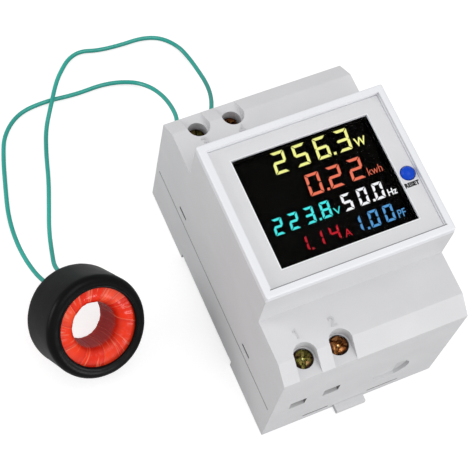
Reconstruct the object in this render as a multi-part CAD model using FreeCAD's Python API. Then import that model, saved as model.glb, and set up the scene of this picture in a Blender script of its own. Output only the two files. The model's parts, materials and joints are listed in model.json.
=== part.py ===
import FreeCAD, Part
import math
import os

from FreeCAD import Placement, Rotation, Vector

# A modular energy meter for a top-hat rail, lying on its back, with its ring current transformer.
# Millimetres. X points right, Y towards the end with terminals 3 and 4, Z out of the front.
# The origin is the middle of the meter's back, in the plane that the case rests on.

# Case outline
case_width = 54.0
case_length = 80.5
case_depth = 64.5
case_wall = 2.0
parting_height = 18.6
seam_height = 0.35
seam_depth = 0.6
nose_length = 45.0
shoulder_height = 48.4
end_edge_height = 44.4
chamfer_run = 5.3

# Back of the case and its rail seat
rail_width = 35.0
rail_clearance = 0.5
rail_seat_depth = 2.4
rail_seat_length = 32.0
rail_seat_relief = 0.25
back_floor = 2.2
end_floor = 2.0
rail_hook_thickness = 1.1
rail_hook_reach = 1.3
rail_hook_width = 12.0
rail_hook_offset = 14.0

# Sliding rail latch
latch_travel = 3.2
latch_end_gap = 0.65
latch_width = 13.0
latch_face_width = 10.4
latch_tab_width = 9.2
latch_tab_reach = 2.3
latch_thickness = 2.0
latch_face_thickness = 1.0
latch_lift = 0.3
latch_gap = 0.2
latch_lug_width = 2.2
latch_lug_length = 1.2
spring_length = 9.0
spring_diameter = 2.4
spring_bore = 1.8
spring_room = 0.3
tunnel_wall = 1.2

# Snap hooks between the two case halves
snap_distance = 43.8
snap_width = 4.0
snap_window_width = 4.4
snap_window_low = 22.8
snap_window_height = 1.2
snap_arm_thickness = 1.2
snap_gap = 0.2
snap_nib = 1.3

# Terminals: two at each end, in the left half of the case
first_terminal_inset = 7.8
terminal_pitch = 10.2
terminal_inset = 5.35
pocket_diameter = 6.4
screw_hole_diameter = 5.7
roof_block_reach = 4.7
roof_block_thickness = 2.1
guide_wall = 1.1
guide_length = 3.6
chamber_width = 8.6
chamber_depth = 9.4
chamber_wall = 1.6
entry_width = 4.8
entry_height = 4.8

# Terminal screw
screw_head_diameter = 5.2
screw_head_height = 2.4
screw_thread_diameter = 3.5
screw_pitch = 0.6
screw_turns = 6
screw_tip_diameter = 2.0
screw_tip_length = 0.9
screw_slot_width = 0.8
screw_slot_depth = 0.9
screw_cross_share = 0.6
screw_sink = 2.8
thread_clearance = 0.06
tip_clearance = 0.06

# Clamp cage, pressure plate and contact bar
cage_gap = 0.1
cage_length = 6.7
cage_wall = 0.9
cage_roof = 3.0
cage_window = 6.9
plate_thickness = 1.2
plate_length = 5.0
plate_side_gap = 0.5
plate_end_gap = 0.05
bar_drop = 0.5
bar_thickness = 0.8
bar_width = 5.2
bar_leg_gap = 0.55
bar_leg_below_board = 1.0
rib_width = 5.0
rib_length = 4.0

# Wires of the current transformer
wire_diameter = 1.3
strand_diameter = 0.9
strand_length = 6.1
strand_gap = 0.05
strip_gap = 0.05
wire_lead = 4.25

# Round blank in the lower end face, and the moulded marks near the back edge
blank_inset = 16.6
blank_height = 17.0
blank_diameter = 11.2
blank_depth = 1.0
cut_margin = 1.0
mark_height = 3.8
mark_thickness = 0.5
mark_depth = 0.5
mark_spans = ((-14.6, -7.0), (5.8, 15.3))

# Front frame
frame_height = 2.4
frame_rim = 2.1
frame_end_rim = 2.1
frame_plate_thickness = 1.1
frame_plug_depth = 3.2
frame_plug_wall = 1.2
frame_plug_gap = 0.2
label_drop = 1.4
label_thickness = 0.5
label_gap = 0.1
label_side = 5.2
label_end = 4.4
display_margin = 0.6
lens_gap = 0.1

# Display stack
boss_radius = 1.5
boss_inset_x = 2.4
boss_inset_y = 1.9
pilot_radius = 0.6
display_screw_length = 4.6
display_screw_head = 1.0
boss_length = 7.9
board_thickness = 1.6
board_edge_gap = 0.7
glass_overlap_side = 0.4
glass_overlap_end = 0.6
glass_switch_gap = 0.95
glass_thickness = 2.2
glass_gap = 0.1
tray_wall = 1.0
backlight_thickness = 3.0
backlight_gap = 0.2
pin_width = 0.5
pin_count = 12
pin_spacing = 2.54

# Reset button and its switch
button_inset = 4.5
button_y = -3.35
button_diameter = 3.9
button_gap = 0.2
button_rise = 1.3
button_dome = 0.5
button_flange_diameter = 4.6
button_flange_thickness = 0.8
button_stem_diameter = 2.4
button_travel = 0.5
switch_width = 4.5
switch_height = 3.0
switch_plunger_diameter = 2.2
switch_plunger_rise = 1.0
switch_plunger_hold = 0.5
switch_gap = 0.1

# Main board and what is soldered to it
main_board_under = 9.0
main_board_side_gap = 0.3
main_board_end_gap = 6.75
standoff_inset = 4.5
standoff_gap = 0.4
standoff_radius = 2.6
board_screw_length = 5.0
board_screw_radius = 1.0
board_screw_head_radius = 2.0
board_screw_head_height = 1.2
hole_gap = 0.1

# Components on the main board: share of its half width, distance from the lower bars' legs, then size
supply_capacitor = (-0.54, 11.4, 11.0, 6.0, 11.0)
supply_transformer = (0.12, 15.4, 15.0, 14.0, 15.0)
metering_chip = (0.17, 43.4, 10.0, 7.6, 1.9)
rectifier_block = (-0.6, 20.4, 8.0, 6.4, 2.6)
fuse_block = (-0.56, 3.9, 9.0, 4.0, 8.0)
reservoir_can_radius = 4.0
reservoir_can_height = 16.0
output_can_radius = 3.15
output_can_height = 11.0
can_gap = 2.85
can_header_gap = 1.23
surge_disc_share = 0.12
surge_disc_from_legs = 3.4
surge_disc_radius = 5.0
surge_disc_thickness = 3.6
burden_share = -0.6
burden_from_legs = 7.4
burden_radius = 1.6
burden_length = 7.0
flat_cable_share = 0.69
flat_cable_y = 8.0
flat_cable_width = 15.24
flat_cable_thickness = 0.9
header_height = 8.5
can_edge_share = 0.125
block_edge_share = 0.08

# Ring current transformer, leaning back on its two wires
ring_x = -62.6
ring_y = 4.7
ring_azimuth = -75.5
ring_elevation = 48.0
ring_radius = 15.0
ring_width = 16.8
ring_edge_radius = 2.4
ring_bore_radius = 6.4
ring_bore_length = 8.4
sleeve_wall = 1.4
sleeve_lip_radius = 11.2
sleeve_lip_thickness = 1.2
tape_gap = 0.1
tape_thickness = 0.5
winding_thickness = 1.6
core_edge_radius = 0.4
ring_exit_radius = 11.9
ring_exit_run = 5.8
ring_exit_side = {3: -0.22, 4: 0.20}

# Wire routes on the table, from terminal to ring, chosen by hand
wire_middle = {
    3: [
        (-15.2, 52.2, 17.3), (-13.9, 58.4, 13.2), (-13.6, 65.3, 8.4), (-15.0, 71.7, 4.2),
        (-18.8, 76.5, 1.5), (-26.7, 79.1, 0.7), (-36.6, 78.6, 0.7), (-46.0, 79.6, 0.7),
        (-55.0, 78.6, 0.7), (-61.5, 73.2, 0.7), (-64.4, 66.0, 0.7), (-67.0, 57.3, 0.7),
        (-69.6, 48.0, 1.1), (-70.7, 38.8, 3.6), (-70.9, 29.7, 8.8),
    ],
    4: [
        (-4.2, 52.4, 17.3), (-1.5, 58.2, 13.3), (0.2, 64.4, 9.0), (0.8, 71.4, 5.0),
        (0.8, 78.0, 2.0), (-0.4, 83.6, 0.8), (-4.4, 88.2, 0.7), (-10.0, 90.1, 0.7),
        (-17.4, 90.0, 0.7), (-24.6, 90.6, 0.7), (-29.6, 92.2, 0.7), (-34.0, 91.0, 0.7),
        (-38.0, 87.3, 1.0), (-41.2, 83.2, 2.3), (-45.3, 76.6, 2.3), (-49.2, 70.6, 0.8),
        (-52.1, 62.6, 0.7), (-54.4, 54.6, 0.7), (-57.4, 46.6, 1.2), (-60.7, 38.0, 3.6),
        (-63.1, 29.7, 8.6),
    ],
}
blend_share = 0.45

# Sizes that follow from the ones above
half_width = case_width / 2
half_length = case_length / 2
inner_half_width = half_width - case_wall
inner_half_length = half_length - case_wall
half_wall = case_wall / 2
nose_half = nose_length / 2
frame_low = case_depth - frame_height
channel_half = (rail_width + rail_clearance) / 2
floor_top = rail_seat_depth + back_floor
display_width = case_width - 2 * (frame_rim + label_side)
display_length = nose_length - 2 * (frame_end_rim + label_end)
button_x = half_width - button_inset
blank_x = half_width - blank_inset
label_top = case_depth - label_drop
label_low = label_top - label_thickness
plate_low = label_low - frame_plate_thickness
well_start = channel_half + case_wall
latch_shoulder = inner_half_length - latch_travel - latch_end_gap
pocket_floor = end_edge_height
first_terminal_x = -half_width + first_terminal_inset
terminal_distance = half_length - terminal_inset
screw_low_top = pocket_floor - screw_sink
screw_travel = screw_pitch * screw_turns
chamber_inner = inner_half_length - chamber_depth
bar_leg_place = chamber_inner + bar_leg_gap
main_board_x = inner_half_width - snap_gap - snap_arm_thickness - main_board_side_gap
main_board_y = inner_half_length - main_board_end_gap
flat_cable_x = flat_cable_share * main_board_x
output_can_y = flat_cable_y - flat_cable_width / 2 - can_header_gap - output_can_radius
reservoir_can_y = output_can_y - output_can_radius - can_gap - reservoir_can_radius
main_board_top = main_board_under + board_thickness
standoff_x = inner_half_width - standoff_inset
standoff_y = well_start + standoff_radius + standoff_gap
display_board_top = plate_low - boss_length
display_board_low = display_board_top - board_thickness
display_board_x = inner_half_width - board_edge_gap
display_board_y = nose_half - case_wall - board_edge_gap
boss_x = inner_half_width - boss_inset_x
boss_y = nose_half - case_wall - boss_inset_y
glass_left = -display_width / 2 - glass_overlap_side
glass_right = button_x - switch_width / 2 - glass_switch_gap
glass_length = display_length + 2 * glass_overlap_end
glass_top = plate_low - glass_gap
glass_low = glass_top - glass_thickness
bar_low = parting_height - bar_drop
bar_top = bar_low + bar_thickness
cage_low = bar_low - cage_wall
wire_height = bar_top + strand_gap + strand_diameter / 2
plate_rest_low = wire_height + strand_diameter / 2 + strand_gap
cage_roof_low = cage_low + cage_wall + cage_window
wire_inner_end = inner_half_length + strip_gap
wire_straight_end = half_length + wire_lead
terminals = {1: (-1, 0), 2: (-1, 1), 3: (1, 0), 4: (1, 1)}


def box(x, y, z):
    """A box between three pairs of limits, given in any order."""
    low = Vector(min(x), min(y), min(z))
    return Part.makeBox(abs(x[1] - x[0]), abs(y[1] - y[0]), abs(z[1] - z[0]), low)


def around(middle, width):
    """The pair of limits of a width centred on a middle."""
    return (middle - width / 2, middle + width / 2)


def post(x, y, radius, z):
    """An upright cylinder between two heights."""
    return Part.makeCylinder(radius, abs(z[1] - z[0]), Vector(x, y, min(z)))


def prism_along_x(outline, x):
    """A prism along X from an outline of (y, z) points."""
    points = [Vector(x[0], y, z) for y, z in outline]
    face = Part.Face(Part.makePolygon(points + points[:1]))
    return face.extrude(Vector(x[1] - x[0], 0, 0))


def join(shapes):
    """One solid from touching or overlapping shapes."""
    result = shapes[0]
    for shape in shapes[1:]:
        result = result.fuse(shape)
    return result.removeSplitter()


def four_corners(x, y):
    """The four places at plus and minus x and y."""
    return [(side * x, end * y) for side in (-1, 1) for end in (-1, 1)]


def terminal_end(number):
    """The end of the case that a terminal is at: 1 or -1 along Y."""
    return terminals[number][0]


def terminal_place(number):
    """The x and y of a terminal's screw."""
    end, step = terminals[number]
    return first_terminal_x + step * terminal_pitch, end * terminal_distance


def screw_drop(number):
    """How far a terminal's screw stands above its clamped height at rest."""
    return screw_travel if terminal_end(number) < 0 else 0.0


def housing_outline(inset):
    """The upper housing's side outline in (y, z), moved inwards by a wall."""
    drop = shoulder_height - end_edge_height
    slant = math.hypot(chamfer_run, drop)
    across, up = drop / slant, chamfer_run / slant
    end = half_length - inset
    edge = end_edge_height - inset * (1 - across) / up
    shoulder = shoulder_height - inset
    shoulder_end = half_length - (inset + (drop - inset) * up) / across
    nose = nose_half - inset
    half = [
        (end, parting_height), (end, edge), (shoulder_end, shoulder), (nose, shoulder), (nose, frame_low),
    ]
    return half + [(-y, z) for y, z in reversed(half)]


def rear_case():
    """The back half of the case: rail seat, latch guide, stand-offs, terminal ribs and snap hooks."""
    body = box((-half_width, half_width), (-half_length, half_length), (0, parting_height))
    inner_x = (-inner_half_width, inner_half_width)
    cavity = box(inner_x, (-inner_half_length, inner_half_length), (floor_top, parting_height))
    wells = [box(inner_x, (well_start, inner_half_length), (end_floor, floor_top))]
    guide = latch_width / 2 + latch_gap + case_wall
    for side in (-1, 1):
        wells.append(box((side * guide, side * inner_half_width), (-well_start, -inner_half_length),
                         (end_floor, floor_top)))
    body = body.cut(cavity)
    for well in wells:
        body = body.cut(well)
    relieved = rail_seat_depth + rail_seat_relief
    body = body.cut(box((-half_width, half_width), (-channel_half, channel_half), (0, relieved)))
    seat = box((-half_width, half_width), around(0, rail_seat_length), (rail_seat_depth, relieved))
    parts = [body, seat]
    for side in (-1, 1):
        hook_x = around(side * rail_hook_offset, rail_hook_width)
        parts.append(box(hook_x, (channel_half - rail_hook_reach, channel_half), (0, rail_hook_thickness)))
    for x, y in four_corners(standoff_x, standoff_y):
        parts.append(post(x, y, standoff_radius, (end_floor, main_board_under)))
    for number in terminals:
        end, x = terminal_end(number), terminal_place(number)[0]
        span = (end * (inner_half_length - rib_length), end * inner_half_length)
        parts.append(box(around(x, rib_width), span, (end_floor, cage_low)))
    parts += snap_hooks()
    body = join(parts)
    body = body.cut(latch_guide())
    body = join([body] + spring_tunnel()).cut(spring_space())
    for x, y in four_corners(standoff_x, standoff_y):
        depth = (main_board_under - board_screw_length, main_board_under)
        body = body.cut(post(x, y, board_screw_radius, depth))
    for span in mark_spans:
        mark_y = (-half_length, -half_length + mark_depth)
        body = body.cut(box(span, mark_y, around(mark_height, mark_thickness)))
    return body.cut(blank_recess()).removeSplitter()


def snap_hooks():
    """Four sprung arms with nibs that catch in the windows of the upper housing."""
    arms = []
    for side in (-1, 1):
        outer = inner_half_width - snap_gap
        for end in (-1, 1):
            span = around(end * snap_distance / 2, snap_width)
            top = snap_window_low + snap_window_height
            arms.append(box((side * outer, side * (outer - snap_arm_thickness)), span, (end_floor, top)))
            foot = box((side * inner_half_width, side * outer), span, (end_floor, parting_height - snap_gap))
            nib = box((side * outer, side * (outer + snap_nib)), span,
                      (snap_window_low + snap_gap, top - snap_gap))
            arms += [foot, nib]
    return arms


def latch_guide():
    """The slot in the back of the case that the rail latch slides in."""
    wide = latch_width / 2 + latch_gap
    face = latch_face_width / 2 + latch_gap
    tab = latch_tab_width / 2 + latch_gap
    step = latch_lift + latch_face_thickness - latch_gap
    top = latch_lift + latch_thickness + latch_gap
    run = (-inner_half_length, -channel_half)
    slot = box((-wide, wide), run, (step, top))
    mouth = box((-face, face), run, (0, step))
    tab_way = box((-tab, tab), (-half_length, -inner_half_length), (0, top))
    return slot.fuse(mouth).fuse(tab_way)


def spring_start():
    """The y of the spring's moving end, against the latch's lug."""
    return -latch_shoulder + spring_length + spring_room


def tunnel_span():
    """The y limits of the spring tunnel, from its fixed end to behind the lug."""
    return (spring_start() - spring_length, spring_start() + latch_lug_length + latch_gap)


def spring_tunnel():
    """The roof over the latch spring, standing on the floor of the rear case."""
    low, high = tunnel_span()
    half = latch_lug_width / 2 + spring_room + tunnel_wall
    top = latch_lift + latch_thickness + latch_gap + spring_diameter + spring_room + tunnel_wall
    return [box((-half, half), (low - tunnel_wall, high + tunnel_wall), (floor_top - tunnel_wall, top))]


def spring_space():
    """The hollow over the latch that holds the spring and lets the lug travel."""
    half = latch_lug_width / 2 + spring_room
    low = latch_lift + latch_thickness
    top = low + latch_gap + spring_diameter + spring_room
    return box((-half, half), tunnel_span(), (low, top))


def din_latch():
    """The sliding latch: flanged plate, hook towards the rail, lug for the spring and pull tab."""
    top = latch_lift + latch_thickness
    step = latch_lift + latch_face_thickness
    flange = box(around(0, latch_width), (-latch_shoulder, -channel_half - latch_gap), (step, top))
    face = box(around(0, latch_face_width), (-latch_shoulder, -channel_half), (latch_lift, step))
    nose = [
        (-channel_half, latch_lift), (-channel_half + rail_hook_reach, latch_lift),
        (-channel_half + rail_hook_reach, latch_lift + rail_hook_thickness / 2), (-channel_half, step),
    ]
    hook = prism_along_x(nose, around(0, latch_face_width))
    tab_y = (-half_length - latch_tab_reach, -latch_shoulder)
    tab = box(around(0, latch_tab_width), tab_y, (latch_lift, top))
    start = spring_start()
    lug = box(around(0, latch_lug_width), (start, start + latch_lug_length), (top, top + spring_diameter))
    return join([flange, face, hook, tab, lug])


def latch_spring():
    """The latch's coil spring, as the sleeve that its turns fill."""
    middle = latch_lift + latch_thickness + latch_gap + spring_diameter / 2
    base = Vector(0, spring_start() - spring_length, middle)
    outer = Part.makeCylinder(spring_diameter / 2, spring_length, base, Vector(0, 1, 0))
    return outer.cut(Part.makeCylinder(spring_bore / 2, spring_length, base, Vector(0, 1, 0)))


def blank_recess():
    """The shallow round recess in the lower end face."""
    start = Vector(blank_x, -half_length - cut_margin, blank_height)
    return Part.makeCylinder(blank_diameter / 2, blank_depth + cut_margin, start, Vector(0, 1, 0))


def upper_case():
    """The front half of the case: shoulders with terminal pockets, wire entries and the nose's walls."""
    body = prism_along_x(housing_outline(0), (-half_width, half_width))
    body = body.cut(prism_along_x(housing_outline(case_wall), (-inner_half_width, inner_half_width)))
    parts = [body]
    roof = (pocket_floor - roof_block_thickness, shoulder_height - half_wall)
    for end in (-1, 1):
        left = first_terminal_x - chamber_width / 2 - chamber_wall
        right = first_terminal_x + terminal_pitch + chamber_width / 2 + chamber_wall
        span = (end * (terminal_distance - roof_block_reach), end * inner_half_length)
        block = box((left, right), span, roof)
        parts.append(block.common(prism_along_x(housing_outline(half_wall), (left, right))))
        for place in range(3):
            middle = first_terminal_x + (place - 0.5) * terminal_pitch
            parts.append(box(around(middle, chamber_wall), (end * chamber_inner, end * inner_half_length),
                             (parting_height, pocket_floor - roof_block_thickness)))
    for number in terminals:
        x, y = terminal_place(number)
        parts.append(post(x, y, screw_hole_diameter / 2 + guide_wall, (roof[0] - guide_length, roof[0])))
    body = join(parts)
    for number in terminals:
        body = body.cut(terminal_openings(number))
    for side in (-1, 1):
        for end in (-1, 1):
            window = box((side * inner_half_width, side * half_width), around(end * snap_distance / 2,
                         snap_window_width), (snap_window_low, snap_window_low + snap_window_height))
            body = body.cut(window)
        seam = (parting_height, parting_height + seam_height)
        body = body.cut(box((side * (half_width - seam_depth), side * half_width),
                            around(0, case_length - 2 * case_wall), seam))
    return body.cut(blank_recess()).removeSplitter()


def terminal_openings(number):
    """The screw pocket with its open channel, the screw hole and the wire entry of one terminal."""
    end = terminal_end(number)
    x, y = terminal_place(number)
    pocket = post(x, y, pocket_diameter / 2, (pocket_floor, case_depth))
    channel = box(around(x, pocket_diameter), (y, end * half_length), (pocket_floor, case_depth))
    hole_low = pocket_floor - roof_block_thickness - guide_length
    hole = post(x, y, screw_hole_diameter / 2, (hole_low, pocket_floor))
    entry = box(around(x, entry_width), (end * inner_half_length, end * half_length),
                (parting_height, parting_height + entry_height))
    return pocket.fuse(channel).fuse(hole).fuse(entry)


def terminal_screw(number):
    """A captive terminal screw: cross-slotted head, thread and the tip that carries the plate."""
    x, y = terminal_place(number)
    top = screw_low_top + screw_drop(number)
    seat = plate_rest_low + plate_thickness + plate_end_gap + screw_drop(number)
    radius = screw_head_diameter / 2
    head = post(x, y, radius, (top - screw_head_height, top))
    head = head.makeFillet(screw_slot_depth / 2, [edge for edge in head.Edges
                                                  if edge.BoundBox.ZMin > top - screw_slot_depth])
    shaft = post(x, y, screw_thread_diameter / 2, (seat, top - screw_head_height))
    tip = post(x, y, screw_tip_diameter / 2, (seat - screw_tip_length, seat))
    depth = (top - screw_slot_depth, top)
    long_slot = box(around(x, screw_head_diameter), around(y, screw_slot_width), depth)
    cross_slot = box(around(x, screw_slot_width), around(y, screw_head_diameter * screw_cross_share), depth)
    return join([head, shaft, tip]).cut(long_slot).cut(cross_slot)


def clamp_plate(number):
    """The pressure plate on a screw's tip, which travels with the screw."""
    x, y = terminal_place(number)
    low = plate_rest_low + screw_drop(number)
    width = chamber_width - 2 * (cage_gap + cage_wall + plate_side_gap)
    plate = box(around(x, width), around(y, plate_length), (low, low + plate_thickness))
    return plate.cut(post(x, y, screw_tip_diameter / 2 + tip_clearance, (low, low + plate_thickness)))


def terminal_cage(number):
    """The steel box of a terminal: floor, two walls and the threaded roof."""
    end = terminal_end(number)
    x, y = terminal_place(number)
    span = (end * (inner_half_length - cage_gap - cage_length), end * (inner_half_length - cage_gap))
    top = cage_roof_low + cage_roof
    width = chamber_width - 2 * cage_gap
    cage = box(around(x, width), span, (cage_low, top))
    window = box(around(x, width - 2 * cage_wall), span, (cage_low + cage_wall, cage_roof_low))
    thread = post(x, y, screw_thread_diameter / 2 + thread_clearance, (cage_roof_low, top))
    return cage.cut(window).cut(thread)


def contact_bar(number):
    """The copper bar under the wire, with the leg that is soldered into the main board."""
    end, x = terminal_end(number), terminal_place(number)[0]
    leg = end * bar_leg_place
    flat = box(around(x, bar_width), (leg, end * (inner_half_length - cage_gap)), (bar_low, bar_top))
    down = box(around(x, bar_width), (leg, leg + end * bar_thickness),
               (main_board_under - bar_leg_below_board, bar_top))
    return join([flat, down])


def bezel_frame():
    """The front frame: raised rim, the plate that carries label and lens, plug and board bosses."""
    frame = box(around(0, case_width), around(0, nose_length), (frame_low, case_depth))
    rim_x, rim_y = case_width - 2 * frame_rim, nose_length - 2 * frame_end_rim
    frame = frame.cut(box(around(0, rim_x), around(0, rim_y), (frame_low, case_depth)))
    plate = box(around(0, rim_x), around(0, rim_y), (plate_low, label_low))
    plug_x = 2 * (inner_half_width - frame_plug_gap)
    plug_y = 2 * (nose_half - case_wall - frame_plug_gap)
    plug = box(around(0, plug_x), around(0, plug_y), (frame_low - frame_plug_depth, plate_low))
    plug = plug.cut(box(around(0, plug_x - 2 * frame_plug_wall), around(0, plug_y - 2 * frame_plug_wall),
                        (frame_low - frame_plug_depth, plate_low)))
    parts = [frame, plate, plug]
    for x, y in four_corners(boss_x, boss_y):
        parts.append(post(x, y, boss_radius, (display_board_top, plate_low)))
    frame = join(parts)
    frame = frame.cut(box(around(0, display_width - 2 * display_margin),
                          around(0, display_length - 2 * display_margin), (plate_low, label_low)))
    frame = frame.cut(post(button_x, button_y, button_diameter / 2 + button_gap, (plate_low, label_low)))
    reach = button_flange_diameter / 2 + button_gap
    frame = frame.cut(box((button_x - reach, half_width - frame_rim), around(button_y, 2 * reach),
                          (frame_low - frame_plug_depth, plate_low)))
    for x, y in four_corners(boss_x, boss_y):
        frame = frame.cut(post(x, y, pilot_radius, (display_board_top, plate_low - boss_radius)))
    return frame


def front_label():
    """The printed front sheet, with openings for the lens and the button."""
    size_x = case_width - 2 * (frame_rim + label_gap)
    size_y = nose_length - 2 * (frame_end_rim + label_gap)
    sheet = box(around(0, size_x), around(0, size_y), (label_low, label_top))
    sheet = sheet.cut(box(around(0, display_width), around(0, display_length), (label_low, label_top)))
    return sheet.cut(post(button_x, button_y, button_diameter / 2 + button_gap, (label_low, label_top)))


def display_lens():
    """The clear lens that lies flush in the label's window."""
    return box(around(0, display_width - 2 * lens_gap), around(0, display_length - 2 * lens_gap),
               (label_low, label_top))


def lcd_glass():
    """The colour segment display."""
    return box((glass_left, glass_right), around(0, glass_length), (glass_low, glass_top))


def lcd_tray():
    """The tray between display board and glass, round the backlight."""
    outer = box((glass_left, glass_right), around(0, glass_length), (display_board_top, glass_low))
    inner = box((glass_left + tray_wall, glass_right - tray_wall), around(0, glass_length - 2 * tray_wall),
                (display_board_top, glass_low))
    return outer.cut(inner)


def backlight():
    """The light guide behind the display glass."""
    inset = tray_wall + backlight_gap
    return box((glass_left + inset, glass_right - inset), around(0, glass_length - 2 * inset),
               (display_board_top, display_board_top + backlight_thickness))


def pin_places():
    """The x of each pin in a row, and the y limits of both rows beside the glass."""
    middle = (glass_left + glass_right) / 2
    across = [middle + (place - (pin_count - 1) / 2) * pin_spacing for place in range(pin_count)]
    edge = glass_length / 2
    return across, [(edge, edge + pin_width), (-edge, -edge - pin_width)]


def lcd_pins():
    """Two rows of pins along the glass's edges, down through the display board."""
    across, rows = pin_places()
    height = (display_board_low - pin_width, glass_low + glass_thickness / 2)
    return Part.makeCompound([box(around(x, pin_width), row, height) for row in rows for x in across])


def display_board():
    """The board behind the display, screwed to the frame's bosses."""
    depth = (display_board_low, display_board_top)
    board = box(around(0, 2 * display_board_x), around(0, 2 * display_board_y), depth)
    for x, y in four_corners(boss_x, boss_y):
        board = board.cut(post(x, y, pilot_radius + hole_gap, depth))
    across, rows = pin_places()
    for row in rows:
        for x in across:
            middle = (row[0] + row[1]) / 2
            width = pin_width + 2 * hole_gap
            board = board.cut(box(around(x, width), around(middle, width), depth))
    return board


def display_screws():
    """The four screws that hold the display board to the frame."""
    screws = []
    for x, y in four_corners(boss_x, boss_y):
        head = post(x, y, 2 * pilot_radius, (display_board_low - display_screw_head, display_board_low))
        shaft = post(x, y, pilot_radius, (display_board_low, display_board_low + display_screw_length))
        screws.append(head.fuse(shaft))
    return Part.makeCompound(screws)


def reset_button():
    """The domed reset button with its flange and stem."""
    top = label_top + button_rise
    radius = button_diameter / 2
    sphere_radius = (radius * radius + button_dome * button_dome) / (2 * button_dome)
    cap = post(button_x, button_y, radius, (plate_low - button_gap, top))
    dome = Part.makeSphere(sphere_radius, Vector(button_x, button_y, top - sphere_radius))
    cap = cap.common(dome)
    flange_top = plate_low - button_gap
    flange = post(button_x, button_y, button_flange_diameter / 2,
                  (flange_top - button_flange_thickness, flange_top))
    foot = display_board_top + switch_height + switch_plunger_rise
    stem = post(button_x, button_y, button_stem_diameter / 2, (foot, flange_top))
    return join([cap, flange, stem])


def switch_body():
    """The small push switch on the display board."""
    top = display_board_top + switch_height
    body = box(around(button_x, switch_width), around(button_y, switch_width), (display_board_top, top))
    depth = switch_plunger_hold + 2 * button_travel
    way = switch_plunger_diameter / 2 + switch_gap
    return body.cut(post(button_x, button_y, way, (top - depth, top)))


def switch_plunger():
    """The switch's plunger, which the button's stem presses."""
    top = display_board_top + switch_height
    return post(button_x, button_y, switch_plunger_diameter / 2,
                (top - switch_plunger_hold, top + switch_plunger_rise))


def main_board():
    """The main board, with holes for its screws and slots for the contact bars' legs."""
    depth = (main_board_under, main_board_top)
    board = box(around(0, 2 * main_board_x), around(0, 2 * main_board_y), depth)
    for x, y in four_corners(standoff_x, standoff_y):
        board = board.cut(post(x, y, board_screw_radius + hole_gap, depth))
    for number in terminals:
        end, x = terminal_end(number), terminal_place(number)[0]
        leg = end * bar_leg_place
        span = (leg - end * hole_gap, leg + end * (bar_thickness + hole_gap))
        slot = box(around(x, bar_width + 2 * hole_gap), span, depth)
        board = board.cut(slot)
    return board


def board_screws():
    """The four screws that hold the main board to the stand-offs."""
    screws = []
    for x, y in four_corners(standoff_x, standoff_y):
        head_z = (main_board_top, main_board_top + board_screw_head_height)
        head = post(x, y, board_screw_head_radius, head_z)
        shaft = post(x, y, board_screw_radius, (main_board_top - board_screw_length, main_board_top))
        screws.append(head.fuse(shaft))
    return Part.makeCompound(screws)


def round_can(x, y, radius, height):
    """A round capacitor standing on the main board."""
    can = post(x, y, radius, (main_board_top, main_board_top + height))
    rings = [edge for edge in can.Edges if edge.BoundBox.ZMin > main_board_top + height / 2
             and edge.BoundBox.ZLength < height / 2]
    return can.makeFillet(radius * can_edge_share, rings)


def block_part(share, from_legs, size_x, size_y, height):
    """A rectangular component standing on the main board."""
    x, y = share * main_board_x, from_legs - bar_leg_place
    body = box(around(x, size_x), around(y, size_y), (main_board_top, main_board_top + height))
    upright = [edge for edge in body.Edges if edge.BoundBox.ZLength > height / 2]
    return body.makeFillet(min(size_x, size_y) * block_edge_share, upright)


def flat_cable():
    """The flat cable between the two boards, with its two headers."""
    x, y = flat_cable_x, flat_cable_y
    header_width = 2 * pin_spacing
    web_low, web_top = main_board_top + header_height, display_board_low - header_height
    lower = box(around(x, header_width), around(y, flat_cable_width), (main_board_top, web_low))
    upper = box(around(x, header_width), around(y, flat_cable_width), (web_top, display_board_low))
    web = box(around(x, flat_cable_thickness), around(y, flat_cable_width - pin_spacing), (web_low, web_top))
    return lower, upper, web


def surge_disc():
    """The disc varistor across the supply, standing on edge."""
    x, y = surge_disc_share * main_board_x, surge_disc_from_legs - bar_leg_place
    start = Vector(x, y - surge_disc_thickness / 2, main_board_top + surge_disc_radius)
    return Part.makeCylinder(surge_disc_radius, surge_disc_thickness, start, Vector(0, 1, 0))


def burden_resistor():
    """The resistor that loads the current transformer."""
    x, y = burden_share * main_board_x, bar_leg_place - burden_from_legs
    start = Vector(x - burden_length / 2, y, main_board_top + burden_radius)
    return Part.makeCylinder(burden_radius, burden_length, start, Vector(1, 0, 0))


def ring_height():
    """How high the ring's centre is when its lowest edge rests on the surface."""
    lean = math.radians(ring_elevation)
    return ((ring_radius - ring_edge_radius) * math.cos(lean)
            + (ring_width / 2 - ring_edge_radius) * math.sin(lean) + ring_edge_radius)


def ring_axes():
    """The ring's axis, its level direction and its upward direction, as unit vectors."""
    turn, lean = math.radians(ring_azimuth), math.radians(ring_elevation)
    axis = Vector(math.cos(lean) * math.cos(turn), math.cos(lean) * math.sin(turn), math.sin(lean))
    level = Vector(-math.sin(turn), math.cos(turn), 0)
    return axis, level, axis.cross(level)


def place_ring(shape):
    """Move a ring made about Z at the origin to where the transformer stands."""
    axis, level, upward = ring_axes()
    placed = shape.copy()
    placed.Placement = Placement(Vector(ring_x, ring_y, ring_height()), Rotation(Vector(0, 0, 1), axis))
    return placed


def turned(edges):
    """The solid that a closed outline in the X-Z plane makes about Z."""
    wire = Part.Wire(edges)
    return Part.Face(wire).revolve(Vector(0, 0, 0), Vector(0, 0, 1), 360)


def line(start, end):
    """A straight edge between two (radius, height) points."""
    return Part.LineSegment(Vector(start[0], 0, start[1]), Vector(end[0], 0, end[1])).toShape()


def corner(start, centre, radius, end):
    """A quarter arc between two (radius, height) points, about a centre."""
    way = Vector(start[0] + end[0] - 2 * centre[0], 0, start[1] + end[1] - 2 * centre[1])
    middle = Vector(centre[0], 0, centre[1]) + way.normalize() * radius
    first, last = Vector(start[0], 0, start[1]), Vector(end[0], 0, end[1])
    return Part.Arc(first, middle, last).toShape()


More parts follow.
